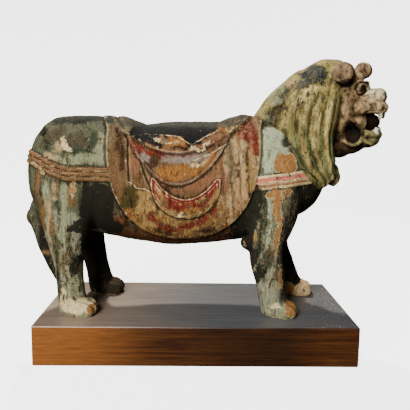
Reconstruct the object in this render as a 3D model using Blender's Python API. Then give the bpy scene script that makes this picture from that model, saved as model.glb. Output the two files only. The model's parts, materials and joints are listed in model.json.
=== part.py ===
"""A carved and painted wooden lion, said to be a ship figurehead, standing on its plain wooden plinth.

The lion faces +X with its mid-plane on Y = 0, its head turned towards -Y. The origin is the middle of the
plinth's underside. Free forms are drawn on a pattern whose unit is LION_HEIGHT / PATTERN_HEIGHT, with z
counted up from the soles. Sizes that can be set by themselves are in metres, at the top.
"""

import math

import bmesh
import bpy
import numpy as np
from mathutils import Matrix, Vector
from mathutils.bvhtree import BVHTree

# Driving dimensions, in metres
PLINTH_LENGTH = 0.450
PLINTH_DEPTH = 0.216
PLINTH_THICKNESS = 0.057
PLINTH_EDGE_ROUNDING = 0.0018
LION_HEIGHT = 0.374
CLOTH_THICKNESS = 0.0042
FLAP_THICKNESS = 0.0028
CRESCENT_THICKNESS = 0.0022
SEAT_THICKNESS = 0.0034
STRAP_THICKNESS = 0.0018
STRAP_RIDGE = 0.0016
STRAP_WIDTH = 0.0205
LOCK_DEPTH = 0.0034
CHEEK_HOLLOW_DEPTH = 0.0075
STANDING_GAP = 0.0003

# Fineness of the solid
CARVING_GRAIN = 0.0026
LION_TRIANGLES = 9300
TUBE_SIDES = 40
TUBE_STEPS = 6

# The pattern: the lion's proportions, in units of a lion PATTERN_HEIGHT units high
PATTERN_HEIGHT = 374.0
UNIT = LION_HEIGHT / PATTERN_HEIGHT
HEAD_CENTRE = (222.7, -9.0, 318.0)
HEAD_YAW = math.radians(-30.0)
HEAD_ROLL = math.radians(4.0)
HIP_HEIGHT = 185.0
HIND_STRIDE = 25.0
FRONT_STRIDE = 46.0
LOCKS_EACH_SIDE = 7

# The mane's rings down from the crown: x, y, z, half-width across Y, half-depth
MANE_RINGS = [
    (186, 0, 349, 43, 26),
    (173, 0, 325, 56, 36),
    (161, 0, 292, 68, 42),
    (157, 0, 262, 71, 39),
    (162, 0, 236, 72, 35),
    (173, 0, 212, 68, 30),
    (185, 0, 197, 56, 21),
]

WOOD_COLOUR = (0.19, 0.075, 0.028, 1.0)
PAINT_COLOUR = (0.20, 0.19, 0.13, 1.0)


def clear_scene():
    for thing in list(bpy.data.objects):
        bpy.data.objects.remove(thing)


def material(name, colour, roughness):
    made = bpy.data.materials.new(name)
    made.use_nodes = True
    shader = made.node_tree.nodes["Principled BSDF"]
    shader.inputs["Base Color"].default_value = colour
    shader.inputs["Roughness"].default_value = roughness
    shader.inputs["Metallic"].default_value = 0.0
    return made


def add_object(name, mesh, finish=None):
    thing = bpy.data.objects.new(name, mesh)
    bpy.context.scene.collection.objects.link(thing)
    if finish:
        thing.data.materials.append(finish)
    return thing


# Building blocks


def spline(rows, steps):
    """A smooth run of rows through the given ones, with steps rows to each stretch."""
    rows = np.array(rows, float)
    held = np.vstack([2 * rows[0] - rows[1], rows, 2 * rows[-1] - rows[-2]])
    t = np.linspace(0.0, 1.0, steps, endpoint=False)[:, None]
    runs = [
        0.5 * (2 * b + (c - a) * t + (2 * a - 5 * b + 4 * c - d) * t**2 + (3 * b - a - 3 * c + d) * t**3)
        for a, b, c, d in zip(held, held[1:], held[2:], held[3:])
    ]
    return np.vstack(runs + [rows[-1:]])


def rounded_end(centre, outward, wide, deep, length):
    """Rings that close a tube's end in a rounded nose of this length."""
    turns = np.linspace(0.0, math.pi / 2, 6)[1:]
    return [
        (centre + outward * length * math.sin(a), wide * max(math.cos(a), 0.12), deep * max(math.cos(a), 0.12))
        for a in turns
    ]


def tube(bm, stations, noses, power=2.0, frame=None, across=(0.0, 1.0, 0.0)):
    """Adds a closed tube through stations of x, y, z, half-width along across and half-depth the other way.

    The noses are the lengths of its two rounded ends.
    """
    run = spline(stations, TUBE_STEPS)
    centres, wide, deep = run[:, :3], run[:, 3], run[:, 4]
    tangents = np.gradient(centres, axis=0)
    tangents /= np.linalg.norm(tangents, axis=1)[:, None]
    first = rounded_end(centres[0], -tangents[0], wide[0], deep[0], noses[0])[::-1]
    last = rounded_end(centres[-1], tangents[-1], wide[-1], deep[-1], noses[1])
    rings = first + list(zip(centres, wide, deep)) + last
    facing = [tangents[0]] * len(first) + list(tangents) + [tangents[-1]] * len(last)
    turns = np.linspace(0.0, 2 * math.pi, TUBE_SIDES, endpoint=False)
    c, s = np.cos(turns), np.sin(turns)
    c, s = (np.sign(v) * np.abs(v) ** (2.0 / power) for v in (c, s))
    loops = []
    for (centre, half_wide, half_deep), tangent in zip(rings, facing):
        up = np.cross(tangent, across)
        up /= np.linalg.norm(up)
        side = np.cross(up, tangent) if frame else np.array(across)
        points = centre + np.outer(c * half_wide, side) + np.outer(s * half_deep, up)
        loops.append([bm.verts.new(frame @ Vector(p) if frame else Vector(p)) for p in points])
    for a, b in zip(loops, loops[1:]):
        for i in range(TUBE_SIDES):
            j = (i + 1) % TUBE_SIDES
            bm.faces.new((a[i], a[j], b[j], b[i]))
    bm.faces.new(loops[0][::-1])
    bm.faces.new(loops[-1])


def egg(bm, centre, radii, frame=None, turn=None):
    """Adds an ellipsoid, turned about its own centre if asked."""
    place = Matrix.Translation(centre) @ (turn or Matrix.Identity(4)) @ Matrix.Diagonal((*radii, 1.0))
    bmesh.ops.create_icosphere(bm, subdivisions=4, radius=1.0, matrix=(frame @ place) if frame else place)


# The lion's forms, in pattern units


def trunk(bm):
    tube(
        bm,
        [
            (-205, 0, 206, 60, 79),
            (-150, 0, 199, 64, 87),
            (-121, 0, 190, 65, 84),
            (-88, 0, 182, 66, 82),
            (-39, 0, 181, 67, 88),
            (22, 0, 184, 68, 86),
            (60, 0, 189, 69, 85),
            (88, 0, 200, 70, 88),
            (112, 0, 204, 70, 80),
            (142, 0, 197, 62, 60),
        ],
        noses=(48, 48),
        power=2.25,
    )


def stride_at(z, stride):
    """How far ahead of the -Y leg the +Y leg stands at this height."""
    return stride * max(0.0, 1.0 - z / HIP_HEIGHT)


def leg(bm, side, stride, stations):
    ahead = stride if side > 0 else 0.0
    tube(
        bm,
        [(x + stride_at(z, ahead), side * y, z, wide, deep) for x, y, z, wide, deep in stations],
        noses=(24, 6),
    )


def hind_leg(bm, side):
    leg(
        bm,
        side,
        HIND_STRIDE,
        [
            (-184, 32, 222, 33, 58),
            (-187, 37, 182, 34, 54),
            (-188, 43, 150, 30, 44),
            (-189, 47, 122, 26, 33),
            (-188, 50, 95, 23, 25),
            (-185, 52, 70, 20, 21),
            (-183, 54, 45, 19, 19.5),
            (-181, 54, 20, 20, 20.5),
            (-180, 54, 4, 20, 21),
        ],
    )


def fore_leg(bm, side):
    leg(
        bm,
        side,
        FRONT_STRIDE,
        [
            (110, 38, 222, 33, 42),
            (114, 43, 186, 31, 38),
            (111, 48, 152, 27, 34),
            (106, 50, 130, 24, 31),
            (100, 52, 104, 22, 26),
            (100, 53, 80, 20, 24.5),
            (104, 54, 60, 19, 22.5),
            (109, 55, 34, 19, 21),
            (114, 55, 6, 20, 21),
        ],
    )
    tuft = stride_at(104.0, FRONT_STRIDE) if side > 0 else 0.0
    egg(bm, (72 + tuft, side * 54, 107), (12, 11, 12))


def paw(bm, side, x, y, stride, length):
    """A paw round x, y with four toes, the outer two long and set back."""
    x += stride if side > 0 else 0.0
    egg(bm, (x, side * y, 8), (length * 0.44, 20, 17))
    for k in range(4):
        middle = abs(k - 1.5) < 1.0
        ahead, half = (0.30, 0.19) if middle else (0.12, 0.31)
        centre = (x + length * ahead, side * y + (k - 1.5) * 10.6, 7.5)
        egg(bm, centre, (length * half, 7.4 if middle else 8.0, 12.5))


def tail(bm):
    tube(
        bm,
        [
            (-226, 0, 172, 10, 9),
            (-243, 0, 154, 10, 9),
            (-247, -2, 134, 9, 9),
            (-238, -9, 112, 9, 10),
            (-227, -20, 90, 9, 10),
            (-211, -32, 64, 9, 9),
            (-198, -42, 46, 8, 8),
        ],
        noses=(8, 6),
    )
    egg(bm, (-249, -1, 133), (11, 12, 13.5))


def neck(bm):
    tube(
        bm,
        [
            (128, 0, 205, 60, 60),
            (136, 0, 246, 54, 66),
            (149, 0, 280, 52, 62),
            (167, 0, 311, 50, 52),
            (182, 0, 336, 44, 43),
        ],
        noses=(20, 12),
    )


def mane(bm):
    tube(bm, MANE_RINGS, noses=(23, 10), power=3.0)
    for side in (-1, 1):
        egg(bm, (199, side * 24, 200), (11, 11, 13))
    egg(bm, (204, 0, 204), (10, 15, 18))
    egg(bm, (197, -16, 343), (22, 26, 29))


def head_frame():
    """The turned head: u forwards to the nose, v to the lion's left, w up."""
    return (
        Matrix.Translation(HEAD_CENTRE)
        @ Matrix.Rotation(HEAD_YAW, 4, "Z")
        @ Matrix.Rotation(HEAD_ROLL, 4, "X")
    )


def head_places(points):
    """Points as the turned head's own u, v and w."""
    turned = np.array(head_frame().inverted())
    return points @ turned[:3, :3].T + turned[:3, 3]


def skull(bm, frame):
    egg(bm, (-8, 0, 8), (28.5, 41, 32), frame)
    egg(bm, (-8, 0, -30), (24, 42, 52), frame)
    egg(bm, (-15, 0, -66), (24, 30, 24), frame)
    egg(bm, (24, 0, -8), (22, 22, 14), frame)
    egg(bm, (39, 0, 2), (14, 14, 11.5), frame)
    egg(bm, (24, 0, 4), (14, 12, 10), frame)


def disc(bm, frame, centre, radius, half_thickness):
    """A rounded disc facing sideways, for an ear."""
    u, v, w = centre
    inner, outer = v - half_thickness * 0.55, v + half_thickness * 0.55
    stations = [(u, inner, w, radius, radius), (u, v, w, radius, radius), (u, outer, w, radius, radius)]
    tube(bm, stations, noses=(half_thickness * 0.45,) * 2, frame=frame, across=(0.0, 0.0, 1.0))


def face_side(bm, frame, side):
    egg(bm, (18.5, side * 17, 12.5), (7.5, 7.5, 7.5), frame)
    lid = [
        (23, side * 14, 20.5, 3, 3),
        (18, side * 20, 21.5, 3.2, 3.2),
        (11, side * 25, 17, 3.4, 3.4),
        (8, side * 27, 9, 3, 3),
    ]
    tube(bm, lid, noses=(3, 3), frame=frame)
    egg(bm, (20.5, side * 29, -15.5), (11, 9.5, 12), frame)
    egg(bm, (19, side * 22, -35), (12, 8.5, 15), frame)
    egg(bm, (44, side * 9, -1), (8.5, 6.5, 7), frame)
    egg(bm, (46.5, side * 11, -26.5), (3.4, 3.4, 6.5), frame)
    egg(bm, (41.5, side * 11, -47.5), (3.6, 3.6, 5.5), frame)
    curl = [
        (10.5, side * 35, -16, 3.6, 3.4),
        (10.5, side * 35, -27, 3.6, 3.4),
        (16, side * 32, -37, 3.6, 3.4),
        (23, side * 29, -46, 3.6, 3.4),
        (25, side * 27, -56, 3.6, 3.4),
        (30, side * 22, -64, 3.6, 3.4),
        (36, side * 15, -68, 3.4, 3.4),
    ]
    tube(bm, curl, noses=(4, 4), frame=frame)
    hinge = [
        (3, side * 32, -62, 4, 4.5),
        (10, side * 31, -66, 4.5, 4.5),
        (18, side * 29, -66, 4.5, 4.5),
        (25, side * 25, -60, 4, 4.5),
    ]
    tube(bm, hinge, noses=(5, 4), frame=frame)


def lip(bm, frame, height, reach, spread, droop, radii):
    """A lip as a horseshoe round the mouth: height at the front, droop back to the corners."""
    open_turn = math.radians(62)
    stations = []
    for k in range(9):
        turn = (k / 4 - 1) * open_turn
        back = 1 - math.cos(turn)
        thick = radii[0] + (radii[1] - radii[0]) * abs(k / 4 - 1)
        stations.append((reach * (1 - back), spread * math.sin(turn), height + droop * back, thick, thick))
    tube(bm, stations, noses=(4, 4), frame=frame, across=(0.0, 0.0, 1.0))


def jaw(bm, frame):
    lip(bm, frame, -15.5, 46.0, 25.0, 4.0, (9.5, 9.0))
    lip(bm, frame, -54.0, 42.0, 25.0, 6.0, (6.8, 5.5))
    egg(bm, (-4, 0, -58), (33, 33, 27), frame)
    egg(bm, (24, 0, -62), (21, 22, 12), frame)
    egg(bm, (25, 1, -36), (20, 13, 14), frame)


def ears(bm, frame):
    disc(bm, frame, (1.0, -46.0, 33.5), 15.0, 12.0)
    disc(bm, frame, (9.5, 39.0, 39.5), 12.5, 11.5)
    for side in (-1, 1):
        egg(bm, (1, side * 27, 29), (13, 17, 11), frame)


def lion_zones():
    """The lion's blocks by zone, each a set of closed shells in pattern units."""
    zones = {name: bmesh.new() for name in ("body", "mane", "head", "ends")}
    trunk(zones["body"])
    neck(zones["mane"])
    mane(zones["mane"])
    tail(zones["ends"])
    frame = head_frame()
    skull(zones["head"], frame)
    jaw(zones["head"], frame)
    ears(zones["head"], frame)
    for side in (-1, 1):
        hind_leg(zones["body"], side)
        fore_leg(zones["body"], side)
        paw(zones["ends"], side, -172, 54, HIND_STRIDE, 56)
        paw(zones["ends"], side, 121, 55, FRONT_STRIDE, 52)
        face_side(zones["head"], frame, side)
    for bm in zones.values():
        bmesh.ops.recalc_face_normals(bm, faces=bm.faces)
    return zones


# From blocks to one carved skin


def fused(zones, grain):
    """All the blocks as one skin of this grain, in pattern units."""
    bm = bmesh.new()
    for part in zones.values():
        held = bpy.data.meshes.new("held")
        part.to_mesh(held)
        bm.from_mesh(held)
        bpy.data.meshes.remove(held)
    mesh = bpy.data.meshes.new("blocks")
    bm.to_mesh(mesh)
    bm.free()
    thing = add_object("blocks", mesh)
    skin = thing.modifiers.new("fuse", "REMESH")
    skin.mode = "VOXEL"
    skin.voxel_size = grain
    return taken(thing, "skin")


def taken(thing, name):
    """The mesh of an object as its modifiers leave it; the object is removed."""
    done = thing.evaluated_get(bpy.context.evaluated_depsgraph_get())
    mesh = bpy.data.meshes.new_from_object(done)
    mesh.name = name
    bpy.data.objects.remove(thing)
    return mesh


def points_of(mesh):
    flat = np.empty(len(mesh.vertices) * 3)
    mesh.vertices.foreach_get("co", flat)
    return flat.reshape(-1, 3)


def set_points(mesh, points):
    mesh.vertices.foreach_set("co", points.ravel())
    mesh.update()


def normals_of(mesh):
    flat = np.empty(len(mesh.vertices) * 3)
    mesh.vertex_normals.foreach_get("vector", flat)
    return flat.reshape(-1, 3)


def evened(mesh, values, weights, rounds):
    """Moves each point's row of values towards its neighbours' middle, by its weight from 0 to 1."""
    edges = np.empty(len(mesh.edges) * 2, int)
    mesh.edges.foreach_get("vertices", edges)
    a, b = edges.reshape(-1, 2).T
    number = np.bincount(np.concatenate([a, b]), minlength=len(values))[:, None]
    for _ in range(rounds):
        total = [np.bincount(a, v[b], len(v)) + np.bincount(b, v[a], len(v)) for v in values.T]
        values = values + 0.5 * weights[:, None] * (np.stack(total, 1) / number - values)
    return values


def zone_shares(mesh, zones):
    """For each zone, how much each point of the skin belongs to it, from 0 to 1."""
    names, points = list(zones), points_of(mesh)
    trees = [BVHTree.FromBMesh(zones[name]) for name in names]
    far = np.array([[tree.find_nearest(p)[3] for tree in trees] for p in points.tolist()])
    others = np.stack([np.delete(far, k, axis=1).min(axis=1) for k in range(len(names))], 1)
    shares = evened(mesh, step(others - far, 0.0, 5.0), np.ones(len(points)), 4)
    return dict(zip(names, shares.T))


# Reliefs, as heights in pattern units over points of the skin


def step(value, edge, soft):
    """0 below the edge and 1 above it, over a softened width."""
    t = np.clip((value - edge) / soft + 0.5, 0.0, 1.0)
    return t * t * (3 - 2 * t)


def cloth_inset(x, z):
    """How far inside the saddle cloth's outline a point of the side view lies."""
    high = step(z, 276.0, 28.0)
    half = 108.5 + 8.0 * high
    over = np.abs(x + 22.0 + 2.0 * high) / half
    down = np.clip((275.0 - z) / 162.5, 0.0, None)
    steep = np.hypot(2.3 * over**1.3 / half, 2.8 * down**1.8 / 162.5)
    return (1 - over**2.3 - down**2.8) / np.maximum(steep, 0.004)


def above_curve(x, z, middle, low, bend):
    """How far above an upward-bending curve a point of the side view lies."""
    away = x - middle
    return (z - low - bend * away**2) / np.hypot(1.0, 2 * bend * away)


def seat_inset(x, z):
    return above_curve(x, z, -32.0, 230.5, 0.0046)


def seat_length(x):
    """1 along the seat, easing to 0 past its front and back rise."""
    return step(x, -117.0, 22.0) * step(-x, -75.0, 22.0)


def flap_inset(x, z):
    return above_curve(x, z, -30.0, 189.3, 0.0120)


def crescent_inset(x, z):
    bowl = np.minimum(48.0 - np.hypot(x + 18.0, np.minimum(z - 192.0, 0.0)), 199.0 - z)
    return np.minimum(bowl, -above_curve(x, z, -19.0, 170.8, 0.0150))


def cheek_hollow(points):
    """The hollow behind each corner of the mouth, 1 at its middle."""
    u, v, w = head_places(points).T
    return np.exp(-(((u - 12.0) / 8.0) ** 2) - ((w + 50.0) / 11.0) ** 2) * step(np.abs(v), 14.0, 10.0)


def strap_place(x, z):
    """Across the harness strap, -1 to 1 from edge to edge, and 1 or more off it."""
    rump = 203.0 + 22.0 * step(-x, 212.0, 74.0)
    chest = 193.5 + 0.135 * (x - 82.0)
    return (z - np.where(x < -20.0, rump, chest)) / (0.5 * STRAP_WIDTH / UNIT)


def lock_waves(points):
    """The mane's locks: rounded ridges with narrow furrows that follow the mane down."""
    rings = np.array(MANE_RINGS[::-1], float)
    x, y, z = points.T
    middle, wide, deep = (np.interp(z, rings[:, 2], rings[:, k]) for k in (0, 3, 4))
    around = np.arctan2(np.abs(y) / wide, (x - middle) / deep)
    phase = around / math.pi * LOCKS_EACH_SIDE
    return np.abs(np.sin(math.pi * phase)) ** 0.6


def relief(points, shares):
    x, y, z = points.T
    body, hair = shares["body"], shares["mane"]
    cloth = step(cloth_inset(x, z), 0.0, 2.4)
    outer = step(np.abs(y), 22.0, 12.0) + step(z, 240.0, 20.0)
    cloth = cloth * np.minimum(outer, 1.0) * (1 - 0.45 * step(z, 272.0, 20.0))
    seat = cloth * step(seat_inset(x, z), 0.0, 3.0) * seat_length(x)
    flap_in = flap_inset(x, z)
    flap = cloth * (step(flap_in, 0.0, 2.4) * (1 - seat) + step(flap_in, 0.0, 40.0) * seat)
    crescent = cloth * step(crescent_inset(x, z), 0.0, 2.4)
    place = strap_place(x, z)
    strap = (1 - cloth) * step(1 - np.abs(place), 0.0, 0.25)
    ridge = 0.5 + 0.5 * np.cos(3 * math.pi * place)
    locks = hair * (lock_waves(points) - 1.0) * (0.12 + 0.88 * step(-z, -306.0, 50.0)) * step(z, 192.0, 16.0)
    height = body * (cloth * CLOTH_THICKNESS + seat * SEAT_THICKNESS + flap * FLAP_THICKNESS)
    height += body**3 * strap * (STRAP_THICKNESS + STRAP_RIDGE * ridge) + body * crescent * CRESCENT_THICKNESS
    height += locks * LOCK_DEPTH - shares["head"] * cheek_hollow(points) * CHEEK_HOLLOW_DEPTH
    return height / UNIT


def carve(mesh, zones):
    """Softens the joins between the body's blocks, then raises and cuts the carving."""
    shares = zone_shares(mesh, zones)
    points = points_of(mesh)
    softness = np.maximum(shares["body"], np.maximum(0.15, shares["mane"] * step(points[:, 2], 310.0, 30.0)))
    set_points(mesh, evened(mesh, points, softness, 16))
    points = points_of(mesh)
    points += normals_of(mesh) * relief(points, shares)[:, None]
    set_points(mesh, evened(mesh, points, np.full(len(points), 0.5), 1))
    return shares


def one_shell(bm):
    """Keeps the largest connected shell: a stray speck or a sealed hollow is dropped."""
    left, shells = set(bm.verts), []
    while left:
        shell = [left.pop()]
        for vert in shell:
            near = {edge.other_vert(vert) for edge in vert.link_edges} & left
            left -= near
            shell.extend(near)
        shells.append(shell)
    shells.sort(key=len)
    for shell in shells[:-1]:
        bmesh.ops.delete(bm, geom=shell, context="VERTS")


def thinned(mesh, shares, triangles):
    """The skin with fewer triangles, kept closest where the carving is fine."""
    thing = add_object("skin", mesh)
    group = thing.vertex_groups.new(name="plain")
    fine = np.maximum(shares["head"], np.maximum(shares["ends"] * 0.6, shares["mane"] * 0.3))
    for level in range(11):
        chosen = np.flatnonzero(np.rint(fine * 10) == level).tolist()
        group.add(chosen, 1.0 - 0.004 * level, "REPLACE")
    mesh.calc_loop_triangles()
    thin = thing.modifiers.new("thin", "DECIMATE")
    thin.ratio = triangles / len(mesh.loop_triangles)
    thin.vertex_group = "plain"
    return taken(thing, "thin skin")


def flat_soles(mesh):
    """Cuts the paws flat at z = 0 and closes the cuts."""
    bm = bmesh.new()
    bm.from_mesh(mesh)
    everything = bm.verts[:] + bm.edges[:] + bm.faces[:]
    bmesh.ops.bisect_plane(bm, geom=everything, plane_co=(0, 0, 0), plane_no=(0, 0, 1), clear_inner=True)
    rims = [edge for edge in bm.edges if edge.is_boundary]
    bmesh.ops.holes_fill(bm, edges=rims, sides=0)
    bmesh.ops.dissolve_degenerate(bm, dist=0.05, edges=bm.edges)
    bmesh.ops.triangulate(bm, faces=bm.faces)
    one_shell(bm)
    bmesh.ops.recalc_face_normals(bm, faces=bm.faces)
    bm.to_mesh(mesh)
    bm.free()


def to_row_frame():
    """From pattern units, z up from the soles, to metres."""
    return Matrix.Translation((0.0, 0.0, PLINTH_THICKNESS + STANDING_GAP)) @ Matrix.Scale(UNIT, 4)


def make_lion():
    zones = lion_zones()
    mesh = fused(zones, CARVING_GRAIN / UNIT)
    shares = carve(mesh, zones)
    mesh = thinned(mesh, shares, LION_TRIANGLES)
    for bm in zones.values():
        bm.free()
    flat_soles(mesh)
    mesh.transform(to_row_frame())
    mesh.name = "lion"
    return add_object("lion", mesh, material("paint on wood", PAINT_COLOUR, 0.62))


def make_plinth():
    bm = bmesh.new()
    size = Matrix.Diagonal((PLINTH_LENGTH, PLINTH_DEPTH, PLINTH_THICKNESS, 1.0))
    bmesh.ops.create_cube(bm, size=1.0, matrix=Matrix.Translation((0, 0, PLINTH_THICKNESS / 2)) @ size)
    bmesh.ops.bevel(
        bm, geom=bm.edges[:], offset=PLINTH_EDGE_ROUNDING, segments=2, profile=0.5, affect="EDGES"
    )
    mesh = bpy.data.meshes.new("plinth")
    bm.to_mesh(mesh)
    bm.free()
    return add_object("plinth", mesh, material("dark wood", WOOD_COLOUR, 0.35))


def main():
    clear_scene()
    make_lion()
    make_plinth()


if __name__ == "__main__":
    main()
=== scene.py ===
"""The looks of the carved and painted wooden lion on its plinth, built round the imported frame.

The lion is carved again from the same pattern, finer, painted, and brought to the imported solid's own box. The plinth
keeps its solid and gets its wood. The pattern has its own units: the lion is 372.6 of them high, with x forwards, y to
the lion's left and z up from the soles.
"""

import json
import math

import bmesh
import bpy
import numpy as np
from mathutils import Matrix, Vector
from mathutils.bvhtree import BVHTree

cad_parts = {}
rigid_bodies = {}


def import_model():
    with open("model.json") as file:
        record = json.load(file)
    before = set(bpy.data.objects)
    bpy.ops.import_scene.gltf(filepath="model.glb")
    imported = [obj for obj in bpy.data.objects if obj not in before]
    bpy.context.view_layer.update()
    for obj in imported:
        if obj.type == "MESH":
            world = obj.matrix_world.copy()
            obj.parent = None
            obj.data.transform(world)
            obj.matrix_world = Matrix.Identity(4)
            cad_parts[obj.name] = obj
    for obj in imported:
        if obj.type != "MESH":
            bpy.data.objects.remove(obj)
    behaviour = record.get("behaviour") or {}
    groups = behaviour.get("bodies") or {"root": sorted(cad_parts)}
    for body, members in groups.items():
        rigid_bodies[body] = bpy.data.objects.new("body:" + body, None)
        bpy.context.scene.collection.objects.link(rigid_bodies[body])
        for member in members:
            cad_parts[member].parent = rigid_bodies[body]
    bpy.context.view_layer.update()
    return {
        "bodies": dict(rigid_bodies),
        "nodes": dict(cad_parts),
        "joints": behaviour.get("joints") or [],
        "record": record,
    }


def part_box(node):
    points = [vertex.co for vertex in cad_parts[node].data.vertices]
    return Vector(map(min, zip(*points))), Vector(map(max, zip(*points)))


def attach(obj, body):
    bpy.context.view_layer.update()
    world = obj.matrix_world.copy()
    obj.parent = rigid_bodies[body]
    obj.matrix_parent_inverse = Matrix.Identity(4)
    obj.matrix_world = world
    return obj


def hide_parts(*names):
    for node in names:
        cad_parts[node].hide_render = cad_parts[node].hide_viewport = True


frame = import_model()


def table(text):
    """A table's rows: a name of a word or two, where there is one, and then numbers."""
    rows = []
    for line in text.strip().splitlines():
        words = line.split()
        name = " ".join(word for word in words if word.isalpha())
        numbers = [float(word) for word in words if not word.isalpha()]
        rows.append((name, *numbers) if name else tuple(numbers))
    return rows


# Sizes from the frame, in metres
LION_LOW, LION_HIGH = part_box("lion")
PLINTH_LOW, PLINTH_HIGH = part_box("plinth")
PLINTH_LENGTH = PLINTH_HIGH.x - PLINTH_LOW.x

# The pattern: the lion's proportions, in the pattern's units
HEAD_CENTRE = (222.7, -9.0, 318.0)
HEAD_YAW = math.radians(-30.0)
HEAD_ROLL = math.radians(4.0)
HIP_HEIGHT = 185.0
HIND_STRIDE = 25.0
FRONT_STRIDE = 46.0
LOCKS_EACH_SIDE = 7
HAIRS_TO_A_LOCK = 11.0
STRAP_HALF = 10.25
CRESCENT_LINES_APART = 3.8
CLOTH_RISE, FLAP_RISE, CRESCENT_RISE, SEAT_RISE = 4.2, 2.8, 2.2, 3.4
LOCK_DEPTH, HAIR_DEPTH = 2.7, 0.7
WHISKER_BALL = (25.0, -14.0)
MOUTH = (26, 0, -36), (25, 23, 17)
# The signed fields that the paint reads are held to this distance from their edges
FAR_OFF = 20.0
BRUSH_EDGE = 1.8

# Tubes: x, y, z, half-width and half-depth at each station
TRUNK = table("""
    -205 0 206 60 79
    -150 0 199 64 87
    -121 0 190 65 84
    -88 0 182 66 82
    -39 0 181 67 88
    22 0 184 68 86
    60 0 189 69 85
    88 0 200 70 88
    112 0 204 70 80
    142 0 197 62 60
""")
HIND_LEG = table("""
    -184 32 222 33 58
    -187 37 182 34 54
    -188 43 150 30 44
    -189 47 122 26 33
    -188 50 95 23 25
    -185 52 70 20 21
    -183 54 45 19 19.5
    -181 54 20 20 20.5
    -180 54 4 20 21
""")
FORE_LEG = table("""
    110 38 222 33 42
    114 43 186 31 38
    111 48 152 27 34
    106 50 130 24 31
    100 52 104 22 26
    100 53 80 20 24.5
    104 54 60 19 22.5
    109 55 34 19 21
    114 55 6 20 21
""")
TAIL = table("""
    -226 0 172 10 9
    -243 0 154 10 9
    -247 -2 134 9 9
    -238 -9 112 9 10
    -227 -20 90 9 10
    -211 -32 64 9 9
    -198 -42 46 8 8
""")
NECK = table("""
    128 0 205 60 60
    136 0 246 54 66
    149 0 280 52 62
    167 0 311 50 52
    182 0 336 44 43
""")
MANE_RINGS = table("""
    186 0 349 43 26
    173 0 325 56 36
    161 0 292 68 42
    157 0 262 71 39
    162 0 236 72 35
    173 0 212 68 30
    185 0 197 56 21
""")

# Fineness of the carving, in pattern units
GRAIN = 1.25
LION_TRIANGLES = 195000
TUBE_SIDES = 40
TUBE_STEPS = 6

# The camera, fitted to the plinth's corners in the photograph, for a plinth of FITTED_LENGTH metres
FITTED_LENGTH = 0.450
FOCAL_PIXELS = 526.1
PICTURE_PIXELS = 410
SENSOR = 36.0
CAMERA_PLACE = (-0.00819, -0.79614, 0.31896)
CAMERA_YAW, CAMERA_PITCH, CAMERA_ROLL = (math.radians(a) for a in (-1.38, -7.75, 0.92))
LIT_PLACE = (0.0, 0.0, 0.2)
WHITE = (1.0, 1.0, 1.0, 1.0)


def add_object(name, mesh):
    thing = bpy.data.objects.new(name, mesh)
    bpy.context.scene.collection.objects.link(thing)
    return thing


# Building blocks


def spline(rows, steps):
    """A smooth run of rows through the given ones, with steps rows to each stretch."""
    rows = np.array(rows, float)
    held = np.vstack([2 * rows[0] - rows[1], rows, 2 * rows[-1] - rows[-2]])
    t = np.linspace(0.0, 1.0, steps, endpoint=False)[:, None]
    runs = [
        0.5 * (2 * b + (c - a) * t + (2 * a - 5 * b + 4 * c - d) * t**2 + (3 * b - a - 3 * c + d) * t**3)
        for a, b, c, d in zip(held, held[1:], held[2:], held[3:])
    ]
    return np.vstack(runs + [rows[-1:]])


def rounded_end(centre, outward, wide, deep, length):
    """Rings that close a tube's end in a rounded nose of this length."""
    turns = np.linspace(0.0, math.pi / 2, 6)[1:]
    return [
        (centre + outward * length * math.sin(a), wide * max(math.cos(a), 0.12), deep * max(math.cos(a), 0.12))
        for a in turns
    ]


def tube(bm, stations, noses, power=2.0, frame=None, across=(0.0, 1.0, 0.0)):
    """Adds a closed tube through stations of x, y, z, half-width along across and half-depth the other way.

    The noses are the lengths of its two rounded ends.
    """
    run = spline(stations, TUBE_STEPS)
    centres, wide, deep = run[:, :3], run[:, 3], run[:, 4]
    tangents = np.gradient(centres, axis=0)
    tangents /= np.linalg.norm(tangents, axis=1)[:, None]
    first = rounded_end(centres[0], -tangents[0], wide[0], deep[0], noses[0])[::-1]
    last = rounded_end(centres[-1], tangents[-1], wide[-1], deep[-1], noses[1])
    rings = first + list(zip(centres, wide, deep)) + last
    facing = [tangents[0]] * len(first) + list(tangents) + [tangents[-1]] * len(last)
    turns = np.linspace(0.0, 2 * math.pi, TUBE_SIDES, endpoint=False)
    c, s = np.cos(turns), np.sin(turns)
    c, s = (np.sign(v) * np.abs(v) ** (2.0 / power) for v in (c, s))
    loops = []
    for (centre, half_wide, half_deep), tangent in zip(rings, facing):
        up = np.cross(tangent, across)
        up /= np.linalg.norm(up)
        side = np.cross(up, tangent) if frame else np.array(across)
        points = centre + np.outer(c * half_wide, side) + np.outer(s * half_deep, up)
        loops.append([bm.verts.new(frame @ Vector(p) if frame else Vector(p)) for p in points])
    for a, b in zip(loops, loops[1:]):
        for i in range(TUBE_SIDES):
            j = (i + 1) % TUBE_SIDES
            bm.faces.new((a[i], a[j], b[j], b[i]))
    bm.faces.new(loops[0][::-1])
    bm.faces.new(loops[-1])


def egg(bm, centre, radii, frame=None):
    """Adds an ellipsoid."""
    place = Matrix.Translation(centre) @ Matrix.Diagonal((*radii, 1.0))
    bmesh.ops.create_icosphere(bm, subdivisions=4, radius=1.0, matrix=(frame @ place) if frame else place)


# The lion's forms, in pattern units


def stride_at(z, stride):
    """How far ahead of the -Y leg the +Y leg stands at this height."""
    return stride * max(0.0, 1.0 - z / HIP_HEIGHT)


def leg(bm, side, stride, stations):
    ahead = stride if side > 0 else 0.0
    tube(
        bm,
        [(x + stride_at(z, ahead), side * y, z, wide, deep) for x, y, z, wide, deep in stations],
        noses=(24, 6),
    )


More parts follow.
